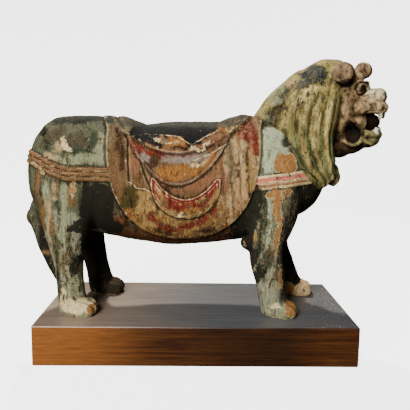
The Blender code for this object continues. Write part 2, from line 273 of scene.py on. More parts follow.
def fore_leg(bm, side):
    leg(bm, side, FRONT_STRIDE, FORE_LEG)
    tuft = stride_at(104.0, FRONT_STRIDE) if side > 0 else 0.0
    egg(bm, (72 + tuft, side * 54, 107), (12, 11, 12))


def paw(bm, side, x, y, stride, length):
    """A paw round x, y with four toes, the outer two long and set back."""
    x += stride if side > 0 else 0.0
    egg(bm, (x, side * y, 8), (length * 0.44, 20, 17))
    for k in range(4):
        middle = abs(k - 1.5) < 1.0
        ahead, half = (0.30, 0.19) if middle else (0.12, 0.31)
        centre = (x + length * ahead, side * y + (k - 1.5) * 10.6, 7.5)
        egg(bm, centre, (length * half, 7.4 if middle else 8.0, 12.5))


def tail(bm):
    tube(bm, TAIL, noses=(8, 6))
    egg(bm, (-249, -1, 133), (11, 12, 13.5))


def mane(bm):
    tube(bm, MANE_RINGS, noses=(23, 10), power=3.0)
    for side in (-1, 1):
        egg(bm, (199, side * 24, 200), (11, 11, 13))
    egg(bm, (204, 0, 204), (10, 15, 18))
    egg(bm, (197, -16, 343), (22, 26, 29))


def head_frame():
    """The turned head: u forwards to the nose, v to the lion's left, w up."""
    return (
        Matrix.Translation(HEAD_CENTRE)
        @ Matrix.Rotation(HEAD_YAW, 4, "Z")
        @ Matrix.Rotation(HEAD_ROLL, 4, "X")
    )


def head_places(points):
    """Points as the turned head's own u, v and w."""
    turned = np.array(head_frame().inverted())
    return points @ turned[:3, :3].T + turned[:3, 3]


def skull(bm, frame):
    egg(bm, (-8, 0, 8), (28.5, 41, 32), frame)
    egg(bm, (-8, 0, -30), (24, 42, 52), frame)
    egg(bm, (-15, 0, -66), (24, 30, 24), frame)
    egg(bm, (24, 0, -8), (22, 22, 14), frame)
    egg(bm, (39, 0, 2), (14, 14, 11.5), frame)
    egg(bm, (24, 0, 4), (14, 12, 10), frame)


def disc(bm, frame, centre, radius, half_thickness):
    """A rounded disc facing sideways, for an ear."""
    u, v, w = centre
    inner, outer = v - half_thickness * 0.55, v + half_thickness * 0.55
    stations = [(u, inner, w, radius, radius), (u, v, w, radius, radius), (u, outer, w, radius, radius)]
    tube(bm, stations, noses=(half_thickness * 0.45,) * 2, frame=frame, across=(0.0, 0.0, 1.0))


def face_side(bm, frame, side):
    egg(bm, (18.5, side * 17, 12.5), (7.5, 7.5, 7.5), frame)
    lid = [
        (23, side * 14, 20.5, 3, 3),
        (18, side * 20, 21.5, 3.2, 3.2),
        (11, side * 25, 17, 3.4, 3.4),
        (8, side * 27, 9, 3, 3),
    ]
    tube(bm, lid, noses=(3, 3), frame=frame)
    egg(bm, (20.5, side * 29, -15.5), (11, 9.5, 12), frame)
    egg(bm, (19, side * 22, -35), (12, 8.5, 15), frame)
    egg(bm, (44, side * 9, -1), (8.5, 6.5, 7), frame)
    egg(bm, (46.5, side * 11, -26.5), (3.4, 3.4, 6.5), frame)
    egg(bm, (41.5, side * 11, -47.5), (3.6, 3.6, 5.5), frame)
    curl = [
        (10.5, side * 35, -16, 3.6, 3.4),
        (10.5, side * 35, -27, 3.6, 3.4),
        (16, side * 32, -37, 3.6, 3.4),
        (23, side * 29, -46, 3.6, 3.4),
        (25, side * 27, -56, 3.6, 3.4),
        (30, side * 22, -64, 3.6, 3.4),
        (36, side * 15, -68, 3.4, 3.4),
    ]
    tube(bm, curl, noses=(4, 4), frame=frame)
    hinge = [
        (3, side * 32, -62, 4, 4.5),
        (10, side * 31, -66, 4.5, 4.5),
        (18, side * 29, -66, 4.5, 4.5),
        (25, side * 25, -60, 4, 4.5),
    ]
    tube(bm, hinge, noses=(5, 4), frame=frame)


def lip(bm, frame, height, reach, spread, droop, radii):
    """A lip as a horseshoe round the mouth: height at the front, droop back to the corners."""
    open_turn = math.radians(62)
    stations = []
    for k in range(9):
        turn = (k / 4 - 1) * open_turn
        back = 1 - math.cos(turn)
        thick = radii[0] + (radii[1] - radii[0]) * abs(k / 4 - 1)
        stations.append((reach * (1 - back), spread * math.sin(turn), height + droop * back, thick, thick))
    tube(bm, stations, noses=(4, 4), frame=frame, across=(0.0, 0.0, 1.0))


def jaw(bm, frame):
    lip(bm, frame, -15.5, 46.0, 25.0, 4.0, (9.5, 9.0))
    lip(bm, frame, -54.0, 42.0, 25.0, 6.0, (6.8, 5.5))
    egg(bm, (-4, 0, -58), (33, 33, 27), frame)
    egg(bm, (24, 0, -62), (21, 22, 12), frame)
    egg(bm, (25, 1, -36), (20, 13, 14), frame)


def ears(bm, frame):
    disc(bm, frame, (1.0, -46.0, 33.5), 15.0, 12.0)
    disc(bm, frame, (9.5, 39.0, 39.5), 12.5, 11.5)
    for side in (-1, 1):
        egg(bm, (1, side * 27, 29), (13, 17, 11), frame)


def lion_zones():
    """The lion's blocks by zone, each a set of closed shells in pattern units."""
    zones = {name: bmesh.new() for name in ("body", "mane", "head", "ends")}
    tube(zones["body"], TRUNK, noses=(48, 48), power=2.25)
    tube(zones["mane"], NECK, noses=(20, 12))
    mane(zones["mane"])
    tail(zones["ends"])
    frame = head_frame()
    skull(zones["head"], frame)
    jaw(zones["head"], frame)
    ears(zones["head"], frame)
    for side in (-1, 1):
        leg(zones["body"], side, HIND_STRIDE, HIND_LEG)
        fore_leg(zones["body"], side)
        paw(zones["ends"], side, -172, 54, HIND_STRIDE, 56)
        paw(zones["ends"], side, 121, 55, FRONT_STRIDE, 52)
        face_side(zones["head"], frame, side)
    for bm in zones.values():
        bmesh.ops.recalc_face_normals(bm, faces=bm.faces)
    return zones


# From blocks to one carved skin


def fused(zones, grain):
    """All the blocks as one skin of this grain, in pattern units."""
    bm = bmesh.new()
    for part in zones.values():
        held = bpy.data.meshes.new("held")
        part.to_mesh(held)
        bm.from_mesh(held)
        bpy.data.meshes.remove(held)
    mesh = bpy.data.meshes.new("blocks")
    bm.to_mesh(mesh)
    bm.free()
    thing = add_object("blocks", mesh)
    skin = thing.modifiers.new("fuse", "REMESH")
    skin.mode = "VOXEL"
    skin.voxel_size = grain
    return taken(thing, "skin")


def taken(thing, name):
    """The mesh of an object as its modifiers leave it; the object is removed."""
    done = thing.evaluated_get(bpy.context.evaluated_depsgraph_get())
    mesh = bpy.data.meshes.new_from_object(done)
    mesh.name = name
    bpy.data.objects.remove(thing)
    return mesh


def points_of(mesh):
    flat = np.empty(len(mesh.vertices) * 3)
    mesh.vertices.foreach_get("co", flat)
    return flat.reshape(-1, 3)


def set_points(mesh, points):
    mesh.vertices.foreach_set("co", points.ravel())
    mesh.update()


def normals_of(mesh):
    flat = np.empty(len(mesh.vertices) * 3)
    mesh.vertex_normals.foreach_get("vector", flat)
    return flat.reshape(-1, 3)


def evened(mesh, values, weights, rounds):
    """Moves each point's row of values towards its neighbours' middle, by its weight from 0 to 1."""
    edges = np.empty(len(mesh.edges) * 2, int)
    mesh.edges.foreach_get("vertices", edges)
    a, b = edges.reshape(-1, 2).T
    number = np.bincount(np.concatenate([a, b]), minlength=len(values))[:, None]
    for _ in range(rounds):
        total = [np.bincount(a, v[b], len(v)) + np.bincount(b, v[a], len(v)) for v in values.T]
        values = values + 0.5 * weights[:, None] * (np.stack(total, 1) / number - values)
    return values


def zone_shares(mesh, zones):
    """For each zone, how much each point of the skin belongs to it, from 0 to 1."""
    names, points = list(zones), points_of(mesh)
    trees = [BVHTree.FromBMesh(zones[name]) for name in names]
    far = np.array([[tree.find_nearest(p)[3] for tree in trees] for p in points.tolist()])
    others = np.stack([np.delete(far, k, axis=1).min(axis=1) for k in range(len(names))], 1)
    shares = evened(mesh, step(others - far, 0.0, 5.0), np.ones(len(points)), 4)
    return dict(zip(names, shares.T))


# Reliefs, as heights in pattern units over points of the skin


def step(value, edge, soft):
    """0 below the edge and 1 above it, over a softened width."""
    t = np.clip((value - edge) / soft + 0.5, 0.0, 1.0)
    return t * t * (3 - 2 * t)


def cloth_inset(x, z):
    """How far inside the saddle cloth's outline a point of the side view lies."""
    high = step(z, 276.0, 28.0)
    half = 108.5 + 8.0 * high
    over = np.abs(x + 22.0 + 2.0 * high) / half
    down = np.clip((275.0 - z) / 162.5, 0.0, None)
    steep = np.hypot(2.3 * over**1.3 / half, 2.8 * down**1.8 / 162.5)
    return (1 - over**2.3 - down**2.8) / np.maximum(steep, 0.004)


def above_curve(x, z, middle, low, bend):
    """How far above an upward-bending curve a point of the side view lies."""
    away = x - middle
    return (z - low - bend * away**2) / np.hypot(1.0, 2 * bend * away)


def seat_inset(x, z):
    return above_curve(x, z, -32.0, 230.5, 0.0046)


def seat_length(x):
    """1 along the seat, easing to 0 past its front and back rise."""
    return step(x, -117.0, 22.0) * step(-x, -75.0, 22.0)


def flap_inset(x, z):
    return above_curve(x, z, -30.0, 189.3, 0.0120)


def crescent_curve(x, z):
    """How far above the crescent's lower edge a point of the side view lies."""
    return above_curve(x, z, -19.0, 170.8, 0.0150)


def crescent_inset(x, z):
    bowl = np.minimum(48.0 - np.hypot(x + 18.0, np.minimum(z - 192.0, 0.0)), 199.0 - z)
    return np.minimum(bowl, -crescent_curve(x, z))


def off_middle(y, z):
    """1 where the saddle cloth can lie, 0 low down between the legs."""
    return np.minimum(step(np.abs(y), 22.0, 12.0) + step(z, 240.0, 20.0), 1.0)


def cheek_hollow(points):
    """The hollow behind each corner of the mouth, 1 at its middle."""
    u, v, w = head_places(points).T
    return np.exp(-(((u - 12.0) / 8.0) ** 2) - ((w + 50.0) / 11.0) ** 2) * step(np.abs(v), 14.0, 10.0)


def strap_place(x, z):
    """Across the harness strap, -1 to 1 from edge to edge, and 1 or more off it."""
    rump = 203.0 + 22.0 * step(-x, 212.0, 74.0)
    chest = 193.5 + 0.135 * (x - 82.0)
    return (z - np.where(x < -20.0, rump, chest)) / STRAP_HALF


def lock_phase(points):
    """How many locks round from the nape a point of the mane lies."""
    rings = np.array(MANE_RINGS[::-1])
    x, y, z = points.T
    middle, wide, deep = (np.interp(z, rings[:, 2], rings[:, k]) for k in (0, 3, 4))
    return np.arctan2(np.abs(y) / wide, (x - middle) / deep) / math.pi * LOCKS_EACH_SIDE


def lock_waves(points):
    """The mane's locks: rounded ridges with narrow furrows that follow the mane down."""
    return np.abs(np.sin(math.pi * lock_phase(points))) ** 0.6


def hair_waves(points, bend=0.0):
    """The fine hairs on the locks, -1 to 1."""
    return np.sin(lock_phase(points) * HAIRS_TO_A_LOCK + bend)


def line_distance(x, z, corners):
    """Distance of side-view points from a line through the corners, and on which side: + is to its right going on."""
    best = np.full(len(x), 1e9)
    sign = np.zeros(len(x))
    for (ax, az), (bx, bz) in zip(corners, corners[1:]):
        dx, dz = bx - ax, bz - az
        t = np.clip(((x - ax) * dx + (z - az) * dz) / (dx * dx + dz * dz), 0.0, 1.0)
        away = np.hypot(x - ax - t * dx, z - az - t * dz)
        turn = (x - ax) * dz - (z - az) * dx
        sign = np.where(away < best, np.sign(turn), sign)
        best = np.minimum(best, away)
    return best, sign


def bump_at(value, middle, half):
    """A rounded ridge, 1 at the middle and near 0 a half-width and more away."""
    return np.exp(-(((value - middle) / half) ** 2))


def cloudy(points, size, seed, layers=3):
    """Smooth random values, about -1 to 1, in lumps of this size with finer ones on them."""
    total = np.zeros(len(points))
    for k in range(layers):
        place = points / size * 2.0**k + 31.7 * (seed + k) + 5.3
        cell = np.floor(place)
        part = place - cell
        part = part * part * (3.0 - 2.0 * part)
        value = np.zeros(len(points))
        for corner in range(8):
            near = np.array([corner & 1, corner >> 1 & 1, corner >> 2 & 1], float)
            weight = np.prod(np.where(near > 0, part, 1.0 - part), axis=1)
            mixed = np.sin((cell + near) @ np.array([12.9898, 78.233, 37.719])) * 43758.5453
            value += weight * (mixed - np.floor(mixed))
        total += (2.0 * value - 1.0) * 0.5**k
    return total


PLEATS = [
    [(-124, 284), (-112, 266), (-101, 249)],
    [(-101, 249), (-99, 222), (-96, 192)],
    [(-83, 226), (-75, 204), (-66, 183)],
]


def face_relief(points):
    """Finer cuts of the face: lids, nostrils, whisker swirls and the lips' creases."""
    u, v, w = head_places(points).T
    height = -7.5 * cheek_hollow(points)
    for side in (-1, 1):
        near = step(side * v, 4.0, 6.0)
        swirl = np.hypot(u - WHISKER_BALL[0], w - WHISKER_BALL[1])
        height -= near * step(side * v, 24.0, 4.0) * (1.3 * bump_at(swirl, 11.5, 1.5) + 0.6 * bump_at(swirl, 5.0, 1.2))
        eye = np.hypot(u - 21.0, (w - 14.0) * 1.2)
        height -= near * 1.3 * bump_at(eye, 8.2, 1.1) * step(u, 10.0, 4.0)
        height -= 2.2 * np.exp(-(((u - 47.0) / 3.4) ** 2) - (((side * v) - 8.0) / 2.6) ** 2 - ((w + 3.0) / 2.6) ** 2)
    height -= 1.0 * bump_at(w - 0.12 * u, -24.5, 1.0) * step(u, 26.0, 6.0) * step(-np.abs(v), -30.0, 8.0)
    for rise in (12.0, 17.0, 22.0):
        height -= 0.7 * bump_at(w - 0.5 * u, rise - 8.0, 0.9) * step(-np.abs(v), -9.0, 4.0) * step(u, 18.0, 6.0)
    return height


def relief(points, shares):
    x, y, z = points.T
    body, hair = shares["body"], shares["mane"]
    cloth = step(cloth_inset(x, z), 0.0, 1.5) * off_middle(y, z)
    top = 1 - 0.45 * step(z, 272.0, 20.0)
    flap_in, crescent_in = flap_inset(x, z), crescent_inset(x, z)
    seat = cloth * step(seat_inset(x, z), 0.0, 2.0) * seat_length(x)
    flap = cloth * (step(flap_in, 0.0, 1.6) * (1 - seat) + step(flap_in, 0.0, 40.0) * seat)
    crescent = cloth * step(crescent_in, 0.0, 1.6)
    height = cloth * top * CLOTH_RISE + flap * FLAP_RISE + crescent * CRESCENT_RISE + seat * SEAT_RISE
    height -= flap * (1 - seat) * (0.5 * bump_at(flap_in, 4.4, 0.8) + 0.4 * bump_at(flap_in, 13.0, 0.8))
    height -= crescent * (0.6 * bump_at(crescent_in, 4.4, 0.8) + 0.4 * bump_at(crescent_in, 12.0, 0.8))
    for corners in PLEATS:
        away, side = line_distance(x, z, corners)
        height -= cloth * (1 - flap * 0.6) * 1.7 * bump_at(away, 0.0, 0.9)
        height += cloth * (1 - flap) * np.where(side < 0, 1.1, 0.0) * np.exp(-away / 9.0) * step(away, 1.0, 2.0)
    folds = np.sin(x / 3.4 + 0.012 * (z - 150.0) + 0.5 * np.sin(z / 31.0))
    height += cloth * (1 - flap) * (1 - crescent) * 0.4 * folds * step(np.abs(x + 25.0), 55.0, 30.0)
    place = strap_place(x, z)
    strap = (1 - cloth) * step(1 - np.abs(place), 0.0, 0.16)
    ridge = np.cos(1.5 * math.pi * place) ** 2
    height += body**2 * strap * (1.5 + np.where(x > 0, 0.7, 1.6) * ridge)
    height = height * body
    waves = lock_waves(points)
    nape = step(-np.abs(y) - 0.5 * step(x, 190.0, 20.0) * 60.0, -14.0, 20.0)
    locks = hair * (waves - 1.0) * (0.10 + 0.90 * step(-z, -306.0, 60.0)) * step(z, 192.0, 16.0) * (1 - nape)
    height += locks * LOCK_DEPTH + hair * HAIR_DEPTH * hair_waves(points) * step(-z, -320.0, 40.0) * (1 - nape)
    height += shares["head"] * face_relief(points)
    height += step(z, 325.0, 12.0) * hair * (1.5 * bump_at(x, 162.0, 6.0) - 2.0 * bump_at(x, 149.0, 7.0))
    height += 0.45 * cloudy(points, 15.0, 1.0, 2) + 0.16 * cloudy(points, 5.0, 2.0, 2)
    return height


def keep(mesh, name, values):
    """Stores values at the points: one number or three each."""
    kind = "FLOAT" if values.ndim == 1 else "FLOAT_VECTOR"
    made = mesh.attributes.new(name, kind, "POINT")
    made.data.foreach_set("value" if values.ndim == 1 else "vector", np.ascontiguousarray(values, np.float32).ravel())


def kept(mesh, name):
    held = mesh.attributes[name]
    wide = held.data_type == "FLOAT_VECTOR"
    flat = np.empty(len(mesh.vertices) * (3 if wide else 1), np.float32)
    held.data.foreach_get("vector" if wide else "value", flat)
    return flat.astype(float).reshape(-1, 3) if wide else flat.astype(float)


def carve(mesh, zones):
    """Softens the joins between the body's blocks, then raises and cuts the carving."""
    shares = zone_shares(mesh, zones)
    points = points_of(mesh)
    softness = np.maximum(shares["body"], np.maximum(0.15, shares["mane"] * step(points[:, 2], 310.0, 30.0)))
    set_points(mesh, evened(mesh, points, softness, round(16 * (2.6 / GRAIN) ** 2)))
    points = points_of(mesh)
    keep(mesh, "rest", points)
    for name, share in shares.items():
        keep(mesh, "in_" + name, share)
    points += normals_of(mesh) * relief(points, shares)[:, None]
    set_points(mesh, evened(mesh, points, np.full(len(points), 0.4), 1))


def thinned(mesh, triangles):
    """The skin with fewer triangles, kept closest where the carving is fine."""
    mesh.calc_loop_triangles()
    if len(mesh.loop_triangles) <= triangles:
        return mesh
    fine = np.maximum(kept(mesh, "in_head"), 0.5 * kept(mesh, "in_ends"))
    x, _, z = kept(mesh, "rest").T
    fine = np.maximum(fine, 0.7 * step(1.3 - np.abs(strap_place(x, z)), 0.0, 0.1) * kept(mesh, "in_body"))
    thing = add_object("skin", mesh)
    group = thing.vertex_groups.new(name="plain")
    for level in range(11):
        chosen = np.flatnonzero(np.rint(fine * 10) == level).tolist()
        group.add(chosen, 1.0 - 0.004 * level, "REPLACE")
    thin = thing.modifiers.new("thin", "DECIMATE")
    thin.ratio = triangles / len(mesh.loop_triangles)
    thin.vertex_group = "plain"
    return taken(thing, "thin skin")


def one_shell(bm):
    """Keeps the largest connected shell: a stray speck or a sealed hollow is dropped."""
    left, shells = set(bm.verts), []
    while left:
        shell = [left.pop()]
        for vert in shell:
            near = {edge.other_vert(vert) for edge in vert.link_edges} & left
            left -= near
            shell.extend(near)
        shells.append(shell)
    shells.sort(key=len)
    for shell in shells[:-1]:
        bmesh.ops.delete(bm, geom=shell, context="VERTS")


def flat_soles(mesh):
    """Cuts the paws flat at z = 0 and closes the cuts."""
    bm = bmesh.new()
    bm.from_mesh(mesh)
    everything = bm.verts[:] + bm.edges[:] + bm.faces[:]
    bmesh.ops.bisect_plane(bm, geom=everything, plane_co=(0, 0, 0), plane_no=(0, 0, 1), clear_inner=True)
    rims = [edge for edge in bm.edges if edge.is_boundary]
    bmesh.ops.holes_fill(bm, edges=rims, sides=0)
    bmesh.ops.dissolve_degenerate(bm, dist=0.05, edges=bm.edges)
    bmesh.ops.triangulate(bm, faces=bm.faces)
    one_shell(bm)
    bmesh.ops.recalc_face_normals(bm, faces=bm.faces)
    bm.to_mesh(mesh)
    bm.free()


# Paint: colours as seen, then turned to linear light


def seen(red, green, blue):
    values = np.array([red, green, blue], float) / 255.0
    return np.where(values <= 0.04045, values / 12.92, ((values + 0.055) / 1.055) ** 2.4)


PALETTE_ROWS = table("""
    sage 80 81 61
    sage light 128 129 98
    leg 130 128 102
    sage dark 54 59 44
    back dark 38 41 31
    mint 160 166 132
    grey brown 72 64 48
    streak 104 80 50
    tan 158 134 96
    night 30 28 22
    cream 238 214 160
    umber 60 42 28
    cloth brown 100 74 48
    cloth rose 120 82 56
    cloth front 166 130 88
    belly 84 52 32
    cloth grey 104 90 64
    gold olive 150 118 68
    ochre 138 92 46
    bare wood 152 108 62
    dark red 108 42 30
    vivid red 116 44 36
    pink red 190 104 88
    lilac 132 116 102
    seat black 20 21 20
    seat grey 56 56 46
    mane 144 130 78
    mane gold 198 176 112
    mane dark 66 56 30
    mane green 114 134 82
    mane grey 52 56 50
    ear 142 116 86
    face 170 140 100
    muzzle 204 172 128
    nose 210 196 156
    mouth 26 15 10
    tooth 232 220 196
    stain dark 50 24 6
    stain light 158 96 42
    dust warm 116 104 92
    dust pale 148 134 118
    dust cool 82 84 88
    dust clear 98 100 102
""")
PALETTE = {name: seen(*shades) for name, *shades in PALETTE_ROWS}

# Patches on the near side: colour, x, z, half-sizes along and across, turn in degrees
HIDE_DAUBS = table("""
    leg -194 70 46 80 0
    leg 106 96 46 100 0
    back dark -170 292 90 19 0
    night -168 275 12 4 0
    grey brown -206 254 24 9 40
    sage dark -160 240 34 14 0
    grey brown -178 249 17 6 12
    grey brown -150 244 14 6 -10
    sage -146 262 14 10 0
    tan -192 242 7 7 0
    sage dark -212 240 9 7 0
    night -222 262 6 10 30
    sage light -158 225 52 7 0
    tan -206 226 10 7 0
    sage light -136 238 9 24 0
    sage dark -150 252 4 14 0
    sage dark -188 191 40 4 -6
    streak -226 178 6 34 0
    grey brown -232 150 7 30 0
    sage light -212 174 5 24 4
    tan -200 178 3 18 3
    streak -176 178 5 20 -3
    tan -206 140 4 30 2
    sage light -187 166 6 28 0
    sage dark -194 150 2.5 30 0
    streak -218 138 5 24 0
    sage light -184 118 9 24 5
    streak -203 120 3 30 3
    sage dark -197 92 4 22 0
    sage dark -178 104 2 22 2
    sage light -172 50 9 20 0
    sage dark -198 50 5 24 0
    night -184 60 2.2 20 0
    streak -186 78 3 18 0
    mint 104 250 24 34 0
    mint 92 222 12 26 0
    seat grey 106 284 28 13 14
    seat grey 125 258 8 14 -20
    sage dark 116 272 10 6 -20
    sage light 92 176 8 16 0
    sage light 104 136 9 34 0
    sage light 128 168 7 26 10
    sage dark 88 112 4 18 0
    sage dark 100 88 8 12 0
    night 94 66 3 14 0
    streak 102 110 2 24 2
    mint 128 44 5 20 0
    night 70 108 13 13 0
    gold olive 80 116 4 6 0
    sage dark 92 156 6 34 0
    mint 100 148 3 40 0
    tan 112 172 10 12 0
    umber -113 150 18 26 20
    grey brown -116 160 8 14 10
    cloth rose -112 140 8 6 30
""")
CLOTH_DAUBS = table("""
    cloth brown -115 232 22 60 0
    cloth grey -129 248 6 28 0
    back dark -118 284 30 14 -24
    umber -112 256 6 24 0
    cloth rose -90 214 12 34 -14
    umber -104 214 4 30 0
    cloth brown -76 206 9 28 -18
    gold olive -70 158 30 22 0
    cloth brown -104 182 16 26 0
    mane dark -96 168 12 22 -20
    ochre -98 148 9 6 -40
    gold olive -20 134 70 18 0
    gold olive 30 170 14 36 0
    cloth front 58 196 26 64 0
    cloth grey 44 214 7 46 0
    umber 54 190 2 40 4
    tan 46 186 2.5 34 6
    cloth front 62 172 11 30 10
    cloth front 46 142 24 12 45
    ochre 40 136 10 4 45
    tan 61 240 5 26 0
    gold olive 72 232 6 24 0
    umber 67 218 3 26 0
    gold olive 72 200 5 22 0
    dark red 68 266 12 17 0
    back dark 60 290 24 7 20
    dark red 77 244 6 10 0
    cloth rose 30 200 8 26 20
    cloth rose -20 196 50 12 0
    dark red -67 147 7 6 30
    dark red -60 140 8 4 0
    dark red -42 131 15 5.5 -20
    dark red -15 134 14 5.5 10
    dark red 6 143 10 6 30
    tan 50 140 12 6 45
    dark red 22 152 6 7 10
    umber -50 124 14 4 -12
    umber 12 126 16 4 10
""")
FLAP_DAUBS = table("""
    lilac -30 227 88 8 0
    ochre -22 208 36 9 6
    ochre 16 222 14 8 50
    umber -66 216 8 20 -30
    cream -2 216 8 1.5 24
    dark red -92 240 12 5 -36
    dark red -66 233 18 3 -14
""")
CRESCENT_DAUBS = table("""
    gold olive -56 182 3 9 32
    gold olive -48 172 3 6 20
    cream -58 188 1.5 5 32
    ochre -8 156 16 3 8
    gold olive 4 170 7 3 40
    gold olive -22 164 6 2 0
    gold olive 22 174 4 13 -30
    dark red -34 158 12 3 -12
    cream -26 151 5 2 0
""")
SEAT_DAUBS = table("""
    cloth brown 46 266 22 14 30
    ochre 34 260 8 5 20
    gold olive 50 264 7 5 20
    cloth grey -112 266 12 12 -30
    dark red -104 251 14 4 -36
    ochre -36 244 19 5 -8
    cloth grey -46 246 6 3 0
    cloth rose 12 246 14 4.5 22
""")
MANE_DAUBS = table("""
    mane grey 160 346 19 13 10
    mane grey 146 330 9 9 0
    mane gold 166 325 24 5 0
    tan 126 330 14 5 45
    sage light 116 318 18 8 45
    sage dark 122 322 10 3 45
    mane dark 112 298 13 7 45
    sage 100 286 8 12 20
    mane gold 140 312 12 5 30
    mane gold 178 285 6 26 0
    mane gold 160 272 4 26 0
    mane dark 138 262 6 22 10
    mane gold 186 220 5 26 0
    mane gold 192 206 9 10 0
    mane dark 160 228 6 20 -8
""")
BARE_PATCHES = table("""
    121 224 16 13 12
    130 216 9 8 0
    97 177 5 5 0
    106 181 7 8 0
    124 184 6 6 0
    110 158 5 20 3
    112 124 4 18 0
    112 98 2.5 12 0
    120 60 3 14 0
    136 16 9 13 0
    -174 182 3.5 9 0
    -150 13 3 12 0
    -226 212 9 2.5 -30
""")
GESSO_PATCHES = table("""
    -187 246 3 8 10
    -183 239 3 3 0
    -190 30 6 12 0
    -176 14 20 10 0
    -154 12 5 9 0
    112 20 9 5 10
    -27 150 5 2 0
    -58 246 9 1.4 -12
    -36 243 9 1.2 2
    -6 238 8 1.3 0
    8 243 6 2.2 24
""")
# Black patches: x, z, half-sizes along and across, turn in degrees; partly black paint, partly painted shade on the
# legs' shaded sides.
DARK_PATCHES = table("""
    -142 160 23 30 0
    -150 130 26 10 0
    -176 128 6 5 0
    -172 74 5 16 0
    -161 100 5 26 0
    -124 126 14 12 0
    74 172 4 16 0
    82 150 5 12 10
    76 104 6 10 0
    74 84 9 20 -20
    82 50 6 32 -14
""")
# Where the paint is most broken up: x, z, half-sizes, turn
BROKEN_PATCHES = table("""
    -20 140 90 34 0
    140 318 60 22 30
    -190 208 60 16 -8
    -174 92 14 24 0
    110 130 30 90 0
    40 258 30 14 20
    -190 60 26 50 0
""")


def inside_patch(x, z, place):
    """How far inside a turned, squarish ellipse a point of the side view lies, in pattern units."""
    centre_x, centre_z, along, across, turn = place
    c, s = math.cos(math.radians(turn)), math.sin(math.radians(turn))
    u = ((x - centre_x) * c + (z - centre_z) * s) / along
    v = ((z - centre_z) * c - (x - centre_x) * s) / across
    return (1.0 - (np.abs(u) ** 2.7 + np.abs(v) ** 2.7) ** (1 / 2.7)) * min(along, across)


def blend(base, colour, weight):
    return base + weight[:, None] * (colour - base)


def lay(base, name, weight):
    """Lays a colour of the palette over the base itself."""
    base += weight[:, None] * (PALETTE[name] - base)


class Brushwork:
    """The painting of the side views: the far side wears the same patches shifted and ragged in another way."""

    def __init__(self, points):
        x, y, z = points.T
        far = y > 0
        self.near_middle = step(-np.abs(y), -13.0, 14.0)
        wide_x, wide_z = cloudy(points, 24.0, 13.0, 2), cloudy(points, 24.0, 14.0, 2)
        fine_x, fine_z = cloudy(points, 8.0, 3.0), cloudy(points, 8.0, 5.0)
        self.x = x - np.where(far, 11.0, 0.0) + 3.2 * wide_x + 2.6 * fine_x + 1.6 * cloudy(points, 2.6, 4.0)
        self.z = z + np.where(far, 7.0, 0.0) + 3.2 * wide_z + 2.6 * fine_z + 1.6 * cloudy(points, 2.6, 6.0)

    def daub(self, base, rows):
        for name, *place in rows:
            weight = step(inside_patch(self.x, self.z, place), 0.0, min(BRUSH_EDGE, 0.8 * min(place[2:4])))
            lay(base, name, weight)
        return base

    def field(self, rows):
        best = np.full(len(self.x), -30.0)
        for place in rows:
            best = np.maximum(best, inside_patch(self.x, self.z, place))
        return best - 12.0 * self.near_middle


def flat_colour(name, number):
    return np.tile(PALETTE[name], (number, 1))


def inside_egg(places, centre, radii):
    return (1.0 - np.linalg.norm((places - centre) / radii, axis=1)) * min(radii)


def far_hind(points):
    """The far hind leg and paw, that stand in the dark under the belly, where the paint lays painted shade."""
    x, y, z = points.T
    return step(y, 6.0, 8.0) * step(-x, 60.0, 20.0) * step(-z, -150.0, 30.0)


def hide_colour(mesh, points, brush, facing):
    """The colour of all that isn't the saddle cloth."""
    number = len(points)
    x, y, z = points.T
    colour = flat_colour("sage", number)
    # The underside of the trunk is dark red-brown: partly its paint and partly painted shade.
    lay(colour, "belly", step(-z, -128.0, 20.0) * step(110.0 - np.abs(x + 20.0), 0.0, 30.0))
    colour = brush.daub(colour, HIDE_DAUBS)
    # Painted shade: near black under the body between the legs, on the legs' inner sides, on the far hind leg and on
    # the lower front of the chest.
    under_body_shade = step(-np.abs(y), -22.0, 24.0) * step(-z, -236.0, 40.0)
    inner_side_shade = step(-facing[:, 1] * np.sign(y), -0.1, 0.5) * step(-z, -170.0, 30.0)
    inner_side_shade = np.maximum(inner_side_shade, far_hind(points))
    chest = step(facing[:, 0] - 0.6 * facing[:, 2], 0.25, 0.4) * step(-z, -206.0, 20.0) * step(x, 112.0, 20.0)
    lay(colour, "night", 0.95 * np.maximum(np.maximum(under_body_shade, inner_side_shade), chest))
    mane_colour = brush.daub(flat_colour("mane", number), MANE_DAUBS)
    waves = kept(mesh, "waves")
    low = step(-z, -306.0, 50.0)
    # Painted shade: the mane's dark colour in the furrows between the locks.
    lay(mane_colour, "mane dark", 0.6 * step(-waves, -0.62, 0.35) * low)
    hairs = hair_waves(points, 1.2 * cloudy(points, 20.0, 15.0, 1))
    lay(mane_colour, "mane dark", 0.4 * step(hairs, 0.5, 0.4) * step(-z, -330.0, 30.0))
    lay(mane_colour, "mane green", 0.85 * step(-waves, -0.50, 0.2) * step(-z, -262.0, 20.0))
    # Painted highlight: gold along the crests of the locks.
    lay(mane_colour, "mane gold", 0.3 * step(waves, 0.93, 0.1) * low)
    colour = blend(colour, mane_colour, step(kept(mesh, "in_mane"), 0.5, 0.25))
    colour = blend(colour, head_colour(points, facing), step(kept(mesh, "in_head"), 0.5, 0.2))
    ends = step(kept(mesh, "in_ends"), 0.5, 0.3)
    paw_colour = brush.daub(flat_colour("sage light", number), [("sage dark", 96, 30, 10, 16, 0)])
    lay(paw_colour, "muzzle", step(y, 6.0, 6.0))
    # Painted shade: the far hind paw near black.
    lay(paw_colour, "night", 0.95 * far_hind(points))
    tail_colour = blend(flat_colour("night", number), PALETTE["gold olive"], 0.4 * bump_at(z, 84.0, 3.0))
    lay(tail_colour, "sage", 0.8 * step(-y, -2.0, 8.0) * step(-x, 238.0, 8.0))
    return blend(colour, np.where((z > 48)[:, None], tail_colour, paw_colour), ends)


